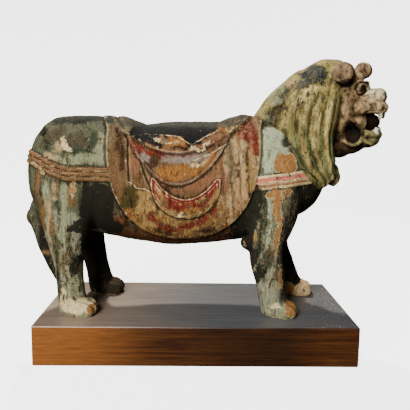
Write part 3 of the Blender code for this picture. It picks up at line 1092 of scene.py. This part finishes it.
def head_colour(points, facing):
    places = head_places(points)
    u, v, w = places.T
    ragged = 1.2 * cloudy(points, 6.0, 8.0)
    colour = flat_colour("face", len(points))
    lay(colour, "muzzle", step(u + 0.6 * w, 20.0, 14.0))
    olive = step(np.hypot(u - 12, w + 28) - 22.0 + ragged, -6.0, 9.0) * step(-w, 30.0, 12.0)
    lay(colour, "cloth front", 0.9 * olive * step(u, 6.0, 8.0))
    lay(colour, "mane green", 0.5 * olive * step(u, 6.0, 8.0))
    ball = np.hypot(u - WHISKER_BALL[0], w - WHISKER_BALL[1]) + ragged
    # Painted shade in the groove round each whisker ball.
    lay(colour, "mane dark", 0.8 * bump_at(ball, 13.0, 2.4) * step(np.abs(v), 22.0, 6.0))
    # Painted shade: umber on the downward faces of the head and jaw.
    lay(colour, "umber", 0.7 * step(-facing[:, 2], 0.25, 0.5) * step(-w, 44.0, 10.0))
    lay(colour, "nose", step(inside_egg(places, (40, 0, 4), (19, 19, 13)) + ragged, 0.0, 2.0))
    lay(colour, "umber", 0.12 * step(-u + ragged, 8.0, 6.0) * step(-w, 6.0, 10.0))
    speckled = step(cloudy(points, 2.0, 21.0, 1), 0.0, 0.5) * step(14.0 - u, 0.0, 8.0) * step(4.0 - w, 0.0, 8.0)
    lay(colour, "umber", 0.28 * speckled)
    for side in (-1, 1):
        ear_in = 18.0 - np.hypot(u - 6.0, w - 38.0) - 2.0 * (side > 0)
        lay(colour, "ear", step(ear_in, 0.0, 2.0) * step(side * v, 24.0, 4.0))
        # Painted highlight: a pale rim along each ear's upper back edge.
        rim = bump_at(ear_in, 0.4, 1.2) * step(side * v, 24.0, 4.0) * step(w - u - 32.0, -8.0, 10.0)
        lay(colour, "cream", 0.6 * rim)
        # Painted shadow under each ear.
        below = inside_egg(places, (6, side * 44, 20), (15, 16, 8))
        lay(colour, "night", 0.85 * step(below, 0.0, 2.0))
        eye_in = inside_egg(places, (18.5, side * 17, 12.5), (8.5, 8.5, 8.5))
        lay(colour, "umber", step(eye_in, -2.4, 1.0))
        lay(colour, "face", step(eye_in, 0.0, 1.0))
        pupil = inside_egg(places, (23.5, side * 20.5, 12.0), (6.0, 6.0, 5.6))
        lay(colour, "night", step(pupil, 0.0, 1.0))
    # Painted shade: near black in the hollow behind each corner of the mouth.
    lay(colour, "mouth", 0.97 * step(cheek_hollow(points) + 0.16 * ragged, 0.06, 0.35))
    # The filler inside the open mouth is near black: partly its dark paint and partly painted shade.
    mouth = inside_egg(places, *MOUTH)
    lay(colour, "mouth", step(mouth, 0.0, 3.0))
    for side in (-1, 1):
        fang = inside_egg(places, (46.5, side * 11, -27.5), (4.6, 4.6, 8.0))
        tooth = inside_egg(places, (41.5, side * 11, -47.5), (4.8, 4.8, 6.8))
        lay(colour, "tooth", step(np.maximum(fang, tooth), 0.0, 1.0))
    return colour


def cloth_colour(points, brush):
    x, y, z = points.T
    colour = brush.daub(flat_colour("cloth brown", len(points)), CLOTH_DAUBS)
    flap_in, crescent_in, seat_in = flap_inset(x, z), crescent_inset(x, z), seat_inset(x, z)
    flap_paint = brush.daub(flat_colour("cloth brown", len(points)), FLAP_DAUBS)
    lay(flap_paint, "lilac", 0.45 * bump_at(flap_in, 2.4, 1.2))
    lay(flap_paint, "umber", 0.7 * bump_at(flap_in, 4.8, 0.8))
    lay(flap_paint, "dark red", 0.7 * bump_at(seat_in, -3.0, 2.0) * step(-x, 0.0, 30.0))
    folds = np.sin(x / 1.9 + 0.05 * (z - 150.0) + 0.8 * np.sin(z / 23.0))
    front = step(x, 26.0, 8.0)
    lay(colour, "umber", 0.6 * front * step(folds, 0.75, 0.2))
    lay(colour, "tan", 0.5 * front * step(-folds, 0.8, 0.2))
    for corners in PLEATS:
        away, _ = line_distance(x, z, corners)
        lay(colour, "tan", 0.5 * bump_at(away, 3.0, 1.0))
        lay(colour, "umber", 0.95 * bump_at(away, 0.0, 1.3))
    lay(colour, "umber", 0.6 * bump_at(flap_in, -1.2, 1.2))
    colour = blend(colour, flap_paint, step(flap_in, 0.0, 1.2))
    lay(colour, "umber", 0.6 * bump_at(crescent_in, -1.6, 1.2) * step(-z, -196.0, 4.0))
    jagged = 2.2 * cloudy(points, 7.0, 12.0)
    red = step(14.5 + jagged + crescent_curve(x, z), 0.0, 1.2)
    crescent_paint = blend(flat_colour("gold olive", len(points)), PALETTE["vivid red"], red)
    crescent_paint = brush.daub(crescent_paint, CRESCENT_DAUBS)
    colour = blend(colour, crescent_paint, step(crescent_in, 0.0, 1.2))
    seat_paint = brush.daub(flat_colour("seat black", len(points)), SEAT_DAUBS)
    ragged = 5.0 * cloudy(points, 12.0, 9.0)
    top = step(50.0 - np.abs(y) + ragged, 0.0, 7.0) * step(z + 0.4 * ragged, 262.0, 5.0)
    lay(seat_paint, "seat grey", 0.85 * top)
    low = step(4.5 + ragged - seat_in, 0.0, 1.5) * step(62.0 - np.abs(x + 14.0), 0.0, 20.0)
    lay(seat_paint, "cloth rose", low)
    return blend(colour, seat_paint, step(seat_in, 0.0, 1.2) * seat_length(x))


FLAKE_EDGES = [
    [(-97, 193), (-90, 190), (-86, 185), (-74, 184), (-66, 179)],
    [(-8, 222), (14, 230), (33, 241)],
    [(-57, 251), (-46, 251), (-30, 250), (-16, 243)],
    [(-2, 244), (8, 250), (24, 256)],
]


def line_places(points):
    """Signed distances from the thin pale lines of bared gesso: round the crescent, under the flap, at flakes."""
    x, _, z = points.T
    flap_in, crescent_in, inside = flap_inset(x, z), crescent_inset(x, z), cloth_inset(x, z)
    on_cloth = step(inside, 2.0, 2.0)
    low_flap = on_cloth * step(x, 6.0, 20.0) * (1 - step(z, 246.0, 4.0))
    edge = np.full(len(x), 1e9)
    for corners in FLAKE_EDGES:
        away, side = line_distance(x, z, corners)
        edge = np.where(away < np.abs(edge), away * np.where(side < 0, -1.0, 1.0), edge)
    places = np.stack([crescent_in - 0.6, flap_in - 0.4, edge], axis=1)
    off = 1 - np.stack([on_cloth, low_flap, on_cloth], axis=1)
    return np.clip(places + np.where(places < 0, -FAR_OFF, FAR_OFF) * off, -FAR_OFF, FAR_OFF)


def keep_paint(mesh):
    """Works out every colour and field that the paint's material reads, at the points."""
    points = kept(mesh, "rest")
    x, y, z = points.T
    keep(mesh, "waves", lock_waves(points))
    brush = Brushwork(points)
    body = kept(mesh, "in_body")
    not_head = 1 - step(kept(mesh, "in_head"), 0.4, 0.2)
    final = points_of(mesh)
    facing = normals_of(mesh)
    keep(mesh, "tint", hide_colour(mesh, points, brush, facing))
    keep(mesh, "drape", cloth_colour(points, brush))
    off = FAR_OFF * (1 - off_middle(y, z)) + FAR_OFF * (1 - step(body, 0.35, 0.3))
    keep(mesh, "cloth", np.clip(cloth_inset(x, z), -FAR_OFF, FAR_OFF) - off)
    place = strap_place(x, z)
    keep(mesh, "strap", (1 - np.abs(place)) * STRAP_HALF - FAR_OFF * (1 - step(body, 0.5, 0.3)))
    keep(mesh, "band", np.clip(place, -1.5, 1.5))
    keep(mesh, "front", step(x, 20.0, 10.0))
    off = FAR_OFF * np.maximum(1 - not_head, far_hind(points))
    keep(mesh, "bare", brush.field(BARE_PATCHES) - off)
    keep(mesh, "gesso", brush.field(GESSO_PATCHES) - off)
    # The dark field: black patches, partly the lion's black paint and partly painted shade on the legs' shaded sides,
    # and a painted shadow in a wedge beside the saddle cloth's front edge.
    cloth_edge_shadow = np.minimum(inside_patch(brush.x, brush.z, (66, 150, 20, 46, -8)), -cloth_inset(x, z) - 0.5)
    keep(mesh, "dark", np.maximum(brush.field(DARK_PATCHES), cloth_edge_shadow) - FAR_OFF * (1 - not_head))
    age = 0.30 + 0.70 * step(brush.field(BROKEN_PATCHES), 0.0, 10.0)
    age -= 0.9 * step(seat_inset(x, z), 1.0, 2.0) * step(-x, -26.0, 8.0) * step(body, 0.35, 0.3)
    in_mouth = inside_egg(head_places(points), *MOUTH) > 0
    age = np.where(kept(mesh, "in_head") > 0.5, np.where(in_mouth | (cheek_hollow(points) > 0.1), -6.0, 0.4), age)
    keep(mesh, "age", age - far_hind(points))
    keep(mesh, "lines", np.where((body < 0.5)[:, None], FAR_OFF, line_places(points)))
    near, wide = evened(mesh, final, np.ones(len(final)), 4), evened(mesh, final, np.ones(len(final)), 30)
    # How far each point stands out from its near and from its wide surroundings: ridges show wear, and creases and
    # hollows get painted shade.
    keep(mesh, "bulge", np.einsum("ij,ij->i", final - near, facing))
    keep(mesh, "swell", np.einsum("ij,ij->i", final - wide, facing))


# Materials


class Shading:
    """A node tree under construction round one Principled shader."""

    def __init__(self, name):
        self.material = bpy.data.materials.new(name)
        self.material.use_nodes = True
        self.tree = self.material.node_tree
        self.shader = self.tree.nodes["Principled BSDF"]
        self.place = self.node("ShaderNodeTexCoord").outputs["Object"]

    def plug(self, node, sockets):
        """Sets a node's inputs, each to a value or from another node's socket."""
        for key, value in sockets.items():
            if isinstance(value, bpy.types.NodeSocket):
                self.tree.links.new(value, node.inputs[key])
            else:
                node.inputs[key].default_value = value

    def node(self, kind, sockets=None, **settings):
        made = self.tree.nodes.new(kind)
        for key, value in settings.items():
            setattr(made, key, value)
        self.plug(made, sockets or {})
        return made

    def math(self, operation, *values):
        return self.node("ShaderNodeMath", dict(enumerate(values)), operation=operation).outputs[0]

    def add(self, first, second):
        return self.math("ADD", first, second)

    def minus(self, first, second):
        return self.math("SUBTRACT", first, second)

    def times(self, first, second):
        return self.math("MULTIPLY", first, second)

    def field(self, name, output="Fac"):
        """What the points keep under this name."""
        return self.node("ShaderNodeAttribute", attribute_name=name).outputs[output]

    def noise(self, scale, stretch=(1.0, 1.0, 1.0), detail=4.0, roughness=0.55):
        """Noise from 0 to 1. scale counts lumps to the metre."""
        spread = self.node("ShaderNodeMapping", {"Vector": self.place, "Scale": stretch}).outputs[0]
        sockets = {"Vector": spread, "Scale": scale, "Detail": detail, "Roughness": roughness}
        return self.node("ShaderNodeTexNoise", sockets).outputs["Fac"]

    def crackle(self, scale):
        """The distance from a net of hairline cracks."""
        waves = self.node("ShaderNodeTexNoise", {"Vector": self.place, "Scale": scale * 1.2}).outputs["Color"]
        sockets = {0: waves, 1: (0.9 / scale,) * 3, 2: self.place}
        bent = self.node("ShaderNodeVectorMath", sockets, operation="MULTIPLY_ADD").outputs[0]
        net = self.node("ShaderNodeTexVoronoi", {"Vector": bent, "Scale": scale}, feature="DISTANCE_TO_EDGE")
        return net.outputs["Distance"]

    def ranged(self, value, low, high, to_low=0.0, to_high=1.0, kind="LINEAR"):
        """Takes the range from low to high to another range."""
        sockets = {"Value": value, "From Min": low, "From Max": high, "To Min": to_low, "To Max": to_high}
        return self.node("ShaderNodeMapRange", sockets, interpolation_type=kind).outputs["Result"]

    def over(self, value, edge, soft):
        """0 where the value is under the edge, 1 where it is over it, over a softened width."""
        return self.ranged(value, edge - soft / 2, edge + soft / 2, kind="SMOOTHSTEP")

    def under(self, value, edge, soft):
        return self.over(self.times(value, -1.0), -edge, soft)

    def around(self, value, low, high):
        """Takes a noise's middle range to low and high."""
        return self.ranged(value, 0.3, 0.7, low, high)

    def mix(self, share, first, second, kind="MIX"):
        sockets = {0: share, 6: first, 7: second}
        return self.node("ShaderNodeMix", sockets, data_type="RGBA", blend_type=kind).outputs[2]

    def scaled(self, colour, amount):
        """The colour made darker or lighter by an amount round 1."""
        sockets = {0: colour[:3] if isinstance(colour, tuple) else colour, "Scale": amount}
        return self.node("ShaderNodeVectorMath", sockets, operation="SCALE").outputs[0]

    def bump(self, height, distance):
        made = self.node("ShaderNodeBump", {"Height": height, "Distance": distance, "Strength": 1.0})
        self.plug(self.shader, {"Normal": made.outputs[0]})


def rgba(name, gain=1.0):
    return (*(PALETTE[name] * gain).tolist(), 1.0)


def lion_paint():
    s = Shading("flaked paint on wood")
    fine, middle = s.noise(1000.0, detail=3.0, roughness=0.7), s.noise(420.0)
    streak = s.noise(460.0, (1.0, 1.0, 0.10), 5.0, 0.62)
    stain = s.noise(120.0, (1.0, 1.0, 0.32), 7.0, 0.68)
    flaking = s.noise(170.0, (1.0, 1.0, 0.45), 7.0, 0.70)
    rubbing = s.noise(230.0, (1.0, 1.0, 0.55), 6.0, 0.72)
    grain = s.noise(900.0, (1.0, 1.0, 0.05), 5.0)
    ragged = s.add(s.around(middle, -1.1, 1.1), s.around(fine, -0.8, 0.8))
    age, bulge = s.field("age"), s.field("bulge")
    paint = s.mix(
        s.over(s.add(s.field("cloth"), s.times(ragged, 0.25)), 0.0, 0.5),
        s.field("tint", "Color"),
        s.field("drape", "Color"),
    )
    on_strap = s.over(s.add(s.field("strap"), s.times(ragged, 0.4)), 0.0, 0.6)
    on_strap = s.times(on_strap, s.under(s.field("cloth"), 0.0, 0.8))
    paint = s.mix(on_strap, paint, strap_colour(s, ragged))
    streak = s.mix(on_strap, streak, s.noise(460.0, (0.10, 1.0, 1.0), 5.0, 0.62))
    worn_thin = s.over(s.add(rubbing, s.times(age, 0.08)), 0.62, 0.03)
    paint = s.mix(worn_thin, paint, s.scaled(paint, 1.35))
    grime = s.over(s.add(stain, s.times(age, 0.08)), 0.605, 0.05)
    off_strap = s.math("MULTIPLY_ADD", on_strap, -0.8, 1.0)
    paint = s.mix(s.times(grime, off_strap), paint, s.mix(1.0, paint, (0.58, 0.52, 0.45, 1.0), "MULTIPLY"))
    paint = s.scaled(paint, s.around(streak, 0.62, 1.34))
    paint = s.scaled(paint, s.around(fine, 0.66, 1.34))
    specks = s.noise(620.0, (1.0, 1.0, 0.7), 3.0, 0.6)
    dots = s.over(s.minus(s.times(age, 0.05), specks), -0.355, 0.03)
    on_cloth = s.over(s.field("cloth"), 0.0, 1.0)
    paint = s.mix(dots, paint, s.scaled(paint, s.math("MULTIPLY_ADD", on_cloth, 0.22, 0.4)))
    paint = s.mix(s.over(s.add(s.times(age, 0.05), specks), 0.66, 0.03), paint, s.scaled(paint, 1.7))
    crazed = s.times(s.minus(1.0, s.over(s.crackle(70.0), 0.03, 0.02)), s.over(stain, 0.52, 0.08))
    paint = s.mix(s.times(crazed, off_strap), paint, s.scaled(paint, 0.55))
    # Painted shade: near black in the creases, less of it on the strap.
    crease_shade = s.under(bulge, -0.16, 0.2)
    paint = s.mix(s.times(crease_shade, s.math("MULTIPLY_ADD", on_strap, -0.6, 0.7)), paint, rgba("night"))
    # Painted shade: the broad hollows darkened to half.
    paint = s.mix(s.under(s.field("swell"), -1.4, 2.4), paint, s.scaled(paint, 0.5))
    loose = s.add(flaking, s.times(age, 0.10))
    below = s.mix(on_cloth, rgba("grey brown"), rgba("cloth rose", 0.75))
    # Where the dark field lies: black paint, painted shade and a painted shadow, all laid near black below.
    dark_paint_and_shade = s.over(s.add(s.field("dark"), ragged), 0.0, 0.8)
    loose = s.minus(loose, s.times(dark_paint_and_shade, 0.07))
    loose = s.math("MULTIPLY_ADD", on_strap, -0.05, loose)
    flaked = s.over(loose, 0.665, 0.01)
    paint = s.mix(s.times(dark_paint_and_shade, 0.95), paint, rgba("night"))
    rubbed = s.over(s.add(bulge, s.times(s.around(rubbing, -1.0, 1.0), 0.22)), 0.50, 0.08)
    chips = s.over(s.add(rubbing, s.times(bulge, 0.10)), 0.70, 0.012)
    lines = s.node("ShaderNodeSeparateXYZ", {0: s.field("lines", "Vector")}).outputs
    nearest, under_flap, at_flakes = (s.math("ABSOLUTE", line) for line in lines)
    second = s.math("ABSOLUTE", s.minus(lines[0], CRESCENT_LINES_APART))
    for line in (under_flap, at_flakes, s.add(second, 0.25)):
        nearest = s.math("MINIMUM", nearest, line)
    drawn = s.over(s.minus(s.around(rubbing, -0.5, 1.15), nearest), 0.0, 0.35)
    pale = s.math("MAXIMUM", drawn, chips)
    pale = s.math("MAXIMUM", pale, s.times(rubbed, 0.35))
    pale = s.math("MAXIMUM", pale, s.times(s.over(loose, 0.652, 0.008), 0.7))
    edge = s.add(s.field("bare"), ragged)
    pale = s.math("MAXIMUM", pale, s.over(edge, -0.6, 0.3))
    pale = s.math("MAXIMUM", pale, s.over(s.add(s.field("gesso"), ragged), 0.0, 0.5))
    gesso = s.scaled(s.mix(s.over(fine, 0.52, 0.1), rgba("cream"), rgba("tan")), s.around(streak, 0.75, 1.15))
    colour = s.mix(pale, paint, gesso)
    colour = s.mix(flaked, colour, s.scaled(below, s.around(grain, 0.6, 1.4)))
    bared = s.over(edge, 0.2, 0.3)
    bare = s.scaled(s.scaled(rgba("bare wood"), s.around(grain, 0.45, 1.45)), s.around(streak, 0.7, 1.25))
    colour = s.mix(bared, colour, bare)
    s.plug(s.shader, {"Base Color": colour, "Roughness": s.around(middle, 0.55, 0.85), "Specular IOR Level": 0.04})
    height = s.minus(s.times(fine, 0.5), s.math("MAXIMUM", bared, flaked))
    height = s.add(height, s.times(streak, 0.7))
    height = s.add(height, s.times(worn_thin, -0.25))
    s.bump(height, 0.0011)
    return s.material


def strap_colour(s, ragged):
    """Harness colours across the band: ridges and grooves behind, painted stripes in front."""
    band = s.add(s.field("band"), s.times(ragged, 0.05))
    ridges = s.math("ABSOLUTE", s.math("COSINE", s.times(band, 1.5 * math.pi)))
    broken = s.noise(300.0, (0.16, 1.0, 1.0), 6.0, 0.65)
    # Behind, the crests of the carved ridges are lighter and the grooves umber: painted highlight and painted shade.
    behind = s.mix(s.over(ridges, 0.4, 0.4), rgba("umber"), rgba("cloth brown", 1.25))
    behind = s.mix(s.over(broken, 0.57, 0.03), behind, rgba("tan", 0.7))
    behind = s.mix(s.under(broken, 0.42, 0.03), behind, rgba("cloth rose", 0.9))
    behind = s.mix(s.over(broken, 0.66, 0.015), behind, rgba("cream", 0.7))
    pink = s.times(s.over(band, 0.08, 0.1), s.under(band, 0.62, 0.1))
    before = s.mix(pink, rgba("tan", 1.6), rgba("pink red", 1.2))
    low = s.times(s.over(band, -0.62, 0.1), s.under(band, -0.30, 0.1))
    before = s.mix(low, before, rgba("cloth rose", 1.3))
    rims = s.over(s.math("ABSOLUTE", s.minus(s.math("ABSOLUTE", band), 0.86)), 0.09, 0.06)
    before = s.mix(rims, rgba("cream", 0.85), before)
    before = s.mix(s.over(broken, 0.58, 0.03), before, rgba("tan", 1.3))
    before = s.mix(s.under(broken, 0.37, 0.03), before, rgba("umber", 1.5))
    return s.mix(s.field("front"), behind, before)


def plinth_wood():
    s = Shading("stained mahogany")
    long_grain = s.noise(240.0, (0.04, 1.0, 1.0), 6.0, 0.62)
    fine = s.noise(900.0, (0.05, 1.0, 1.0), 3.0)
    blotch = s.noise(16.0, (0.6, 1.0, 1.0), 4.0, 0.6)
    apart = s.node("ShaderNodeSeparateXYZ", {0: s.place}).outputs

    def past(share, soft):
        """1 past this share of the plinth's length, over a softened width in metres."""
        return s.over(apart[0], PLINTH_LOW.x + share * PLINTH_LENGTH, soft)

    # The front is lighter at the left end and darker from the middle to near the right end: painted light and painted
    # shade over the stain's grain and blotches.
    along = s.ranged(apart[0], PLINTH_LOW.x, PLINTH_LOW.x + 0.45 * PLINTH_LENGTH, 0.66, 0.08, "SMOOTHSTEP")
    lightness = s.add(s.add(along, s.around(long_grain, -0.13, 0.13)), s.around(blotch, -0.05, 0.05))
    colour = s.mix(lightness, rgba("stain dark"), rgba("stain light"))
    colour = s.scaled(colour, s.around(fine, 0.75, 1.25))
    shaded_middle = s.minus(past(0.50, 0.2 * PLINTH_LENGTH), past(0.84, 0.16 * PLINTH_LENGTH))
    colour = s.scaled(colour, s.math("MULTIPLY_ADD", shaded_middle, -0.55, 1.0))
    on_top = s.over(apart[2], PLINTH_HIGH.z - 0.0003, 0.0003)
    # The top's grey haze: partly dust and partly a painted sheen of reflected light; paler and warmer to the left as
    # painted light, cooler and darker to the right as painted shade.
    warm = s.mix(s.around(blotch, 0.2, 0.8), rgba("dust warm"), rgba("dust pale"))
    cool = s.mix(blotch, rgba("dust cool"), rgba("dust clear"))
    dusty_sheen = s.scaled(s.mix(past(0.36, 0.5 * PLINTH_LENGTH), warm, cool), s.around(long_grain, 0.8, 1.2))
    colour = s.mix(s.times(on_top, 0.85), colour, dusty_sheen)
    dust = s.over(s.noise(280.0, detail=2.0, roughness=0.5), 0.675, 0.04)
    colour = s.mix(s.times(s.times(dust, past(0.84, 0.1)), on_top), colour, rgba("nose"))
    s.plug(s.shader, {"Base Color": colour, "Roughness": 0.36, "Coat Weight": 0.05, "Coat Roughness": 0.25})
    s.bump(s.add(long_grain, s.times(fine, 0.4)), 0.0002)
    return s.material


# The object


def fit_box(mesh, low, high):
    """Brings the mesh to the solid's own box: the finer skin differs from it by a few tenths of a millimetre."""
    points = points_of(mesh)
    own_low, own_high = points.min(axis=0), points.max(axis=0)
    points = np.array(low) + (points - own_low) / (own_high - own_low) * (np.array(high) - np.array(low))
    set_points(mesh, points)


def make_lion():
    zones = lion_zones()
    mesh = fused(zones, GRAIN)
    carve(mesh, zones)
    mesh = thinned(mesh, LION_TRIANGLES)
    for bm in zones.values():
        bm.free()
    flat_soles(mesh)
    keep_paint(mesh)
    fit_box(mesh, LION_LOW, LION_HIGH)
    mesh.polygons.foreach_set("use_smooth", [True] * len(mesh.polygons))
    mesh.materials.clear()
    mesh.materials.append(lion_paint())
    mesh.name = "carved_lion"
    return add_object("carved_lion", mesh)


def make_floor(scale):
    """A pale floor that curves up into a wall all round."""
    flat, bend, top = 1.6, 1.2, 5.0
    profile = [(0.001, 0.0), (0.5, 0.0), (flat, 0.0)]
    turns = np.linspace(0.0, math.pi / 2, 17)[1:]
    profile += [(flat + bend * math.sin(a), bend - bend * math.cos(a)) for a in turns]
    profile.append((flat + bend, top))
    turns = [(math.cos(a), math.sin(a)) for a in np.linspace(0.0, 2 * math.pi, 97)[:-1]]
    bm = bmesh.new()
    rows = [[bm.verts.new((r * c * scale, r * t * scale, (z - 0.0002) * scale)) for c, t in turns] for r, z in profile]
    bm.faces.new(rows[0])
    for a, b in zip(rows, rows[1:]):
        for k in range(len(turns)):
            bm.faces.new((a[k - 1], b[k - 1], b[k], a[k]))
    mesh = bpy.data.meshes.new("studio_floor")
    bm.to_mesh(mesh)
    bm.free()
    mesh.polygons.foreach_set("use_smooth", [True] * len(mesh.polygons))
    floor = add_object("studio_floor", mesh)
    paper = Shading("pale paper")
    glow = {"Emission Color": WHITE, "Emission Strength": 3.6}
    paper.plug(paper.shader, {"Base Color": (0.5, 0.5, 0.5, 1.0), "Roughness": 0.9, **glow})
    mesh.materials.append(paper.material)
    floor.visible_diffuse = False
    floor.visible_glossy = False


def make_light(name, place, size, power, colour):
    lamp = bpy.data.lights.new(name, "AREA")
    lamp.size = size
    lamp.energy = power
    lamp.color = colour
    thing = bpy.data.objects.new(name, lamp)
    thing.location = place
    thing.rotation_euler = (Vector(LIT_PLACE) - Vector(place)).to_track_quat("-Z", "Y").to_euler()
    bpy.context.scene.collection.objects.link(thing)


def make_camera(scale):
    camera = bpy.data.objects.new("camera", bpy.data.cameras.new("camera"))
    camera.data.sensor_width = SENSOR
    camera.data.lens = FOCAL_PIXELS / PICTURE_PIXELS * SENSOR
    camera.matrix_world = (
        Matrix.Translation(Vector(CAMERA_PLACE) * scale)
        @ Matrix.Rotation(CAMERA_YAW, 4, "Z")
        @ Matrix.Rotation(math.pi / 2 + CAMERA_PITCH, 4, "X")
        @ Matrix.Rotation(CAMERA_ROLL, 4, "Z")
    )
    bpy.context.scene.collection.objects.link(camera)
    bpy.context.scene.camera = camera


scale = PLINTH_LENGTH / FITTED_LENGTH
lion = make_lion()
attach(lion, "root")
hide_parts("lion")
frame["nodes"]["plinth"].data.materials.clear()
frame["nodes"]["plinth"].data.materials.append(plinth_wood())

make_floor(scale)
make_camera(scale)
make_light("sky", (-0.7, -1.62, 1.05), 0.8, 74.0, (1.0, 0.99, 0.97))
make_light("sun", (-0.4, 1.1, 2.1), 0.12, 80.0, (1.0, 0.95, 0.86))
world = bpy.data.worlds.new("studio")
world.use_nodes = True
backdrop = world.node_tree.nodes["Background"].inputs
backdrop["Color"].default_value = WHITE
backdrop["Strength"].default_value = 0.05
bpy.context.scene.world = world
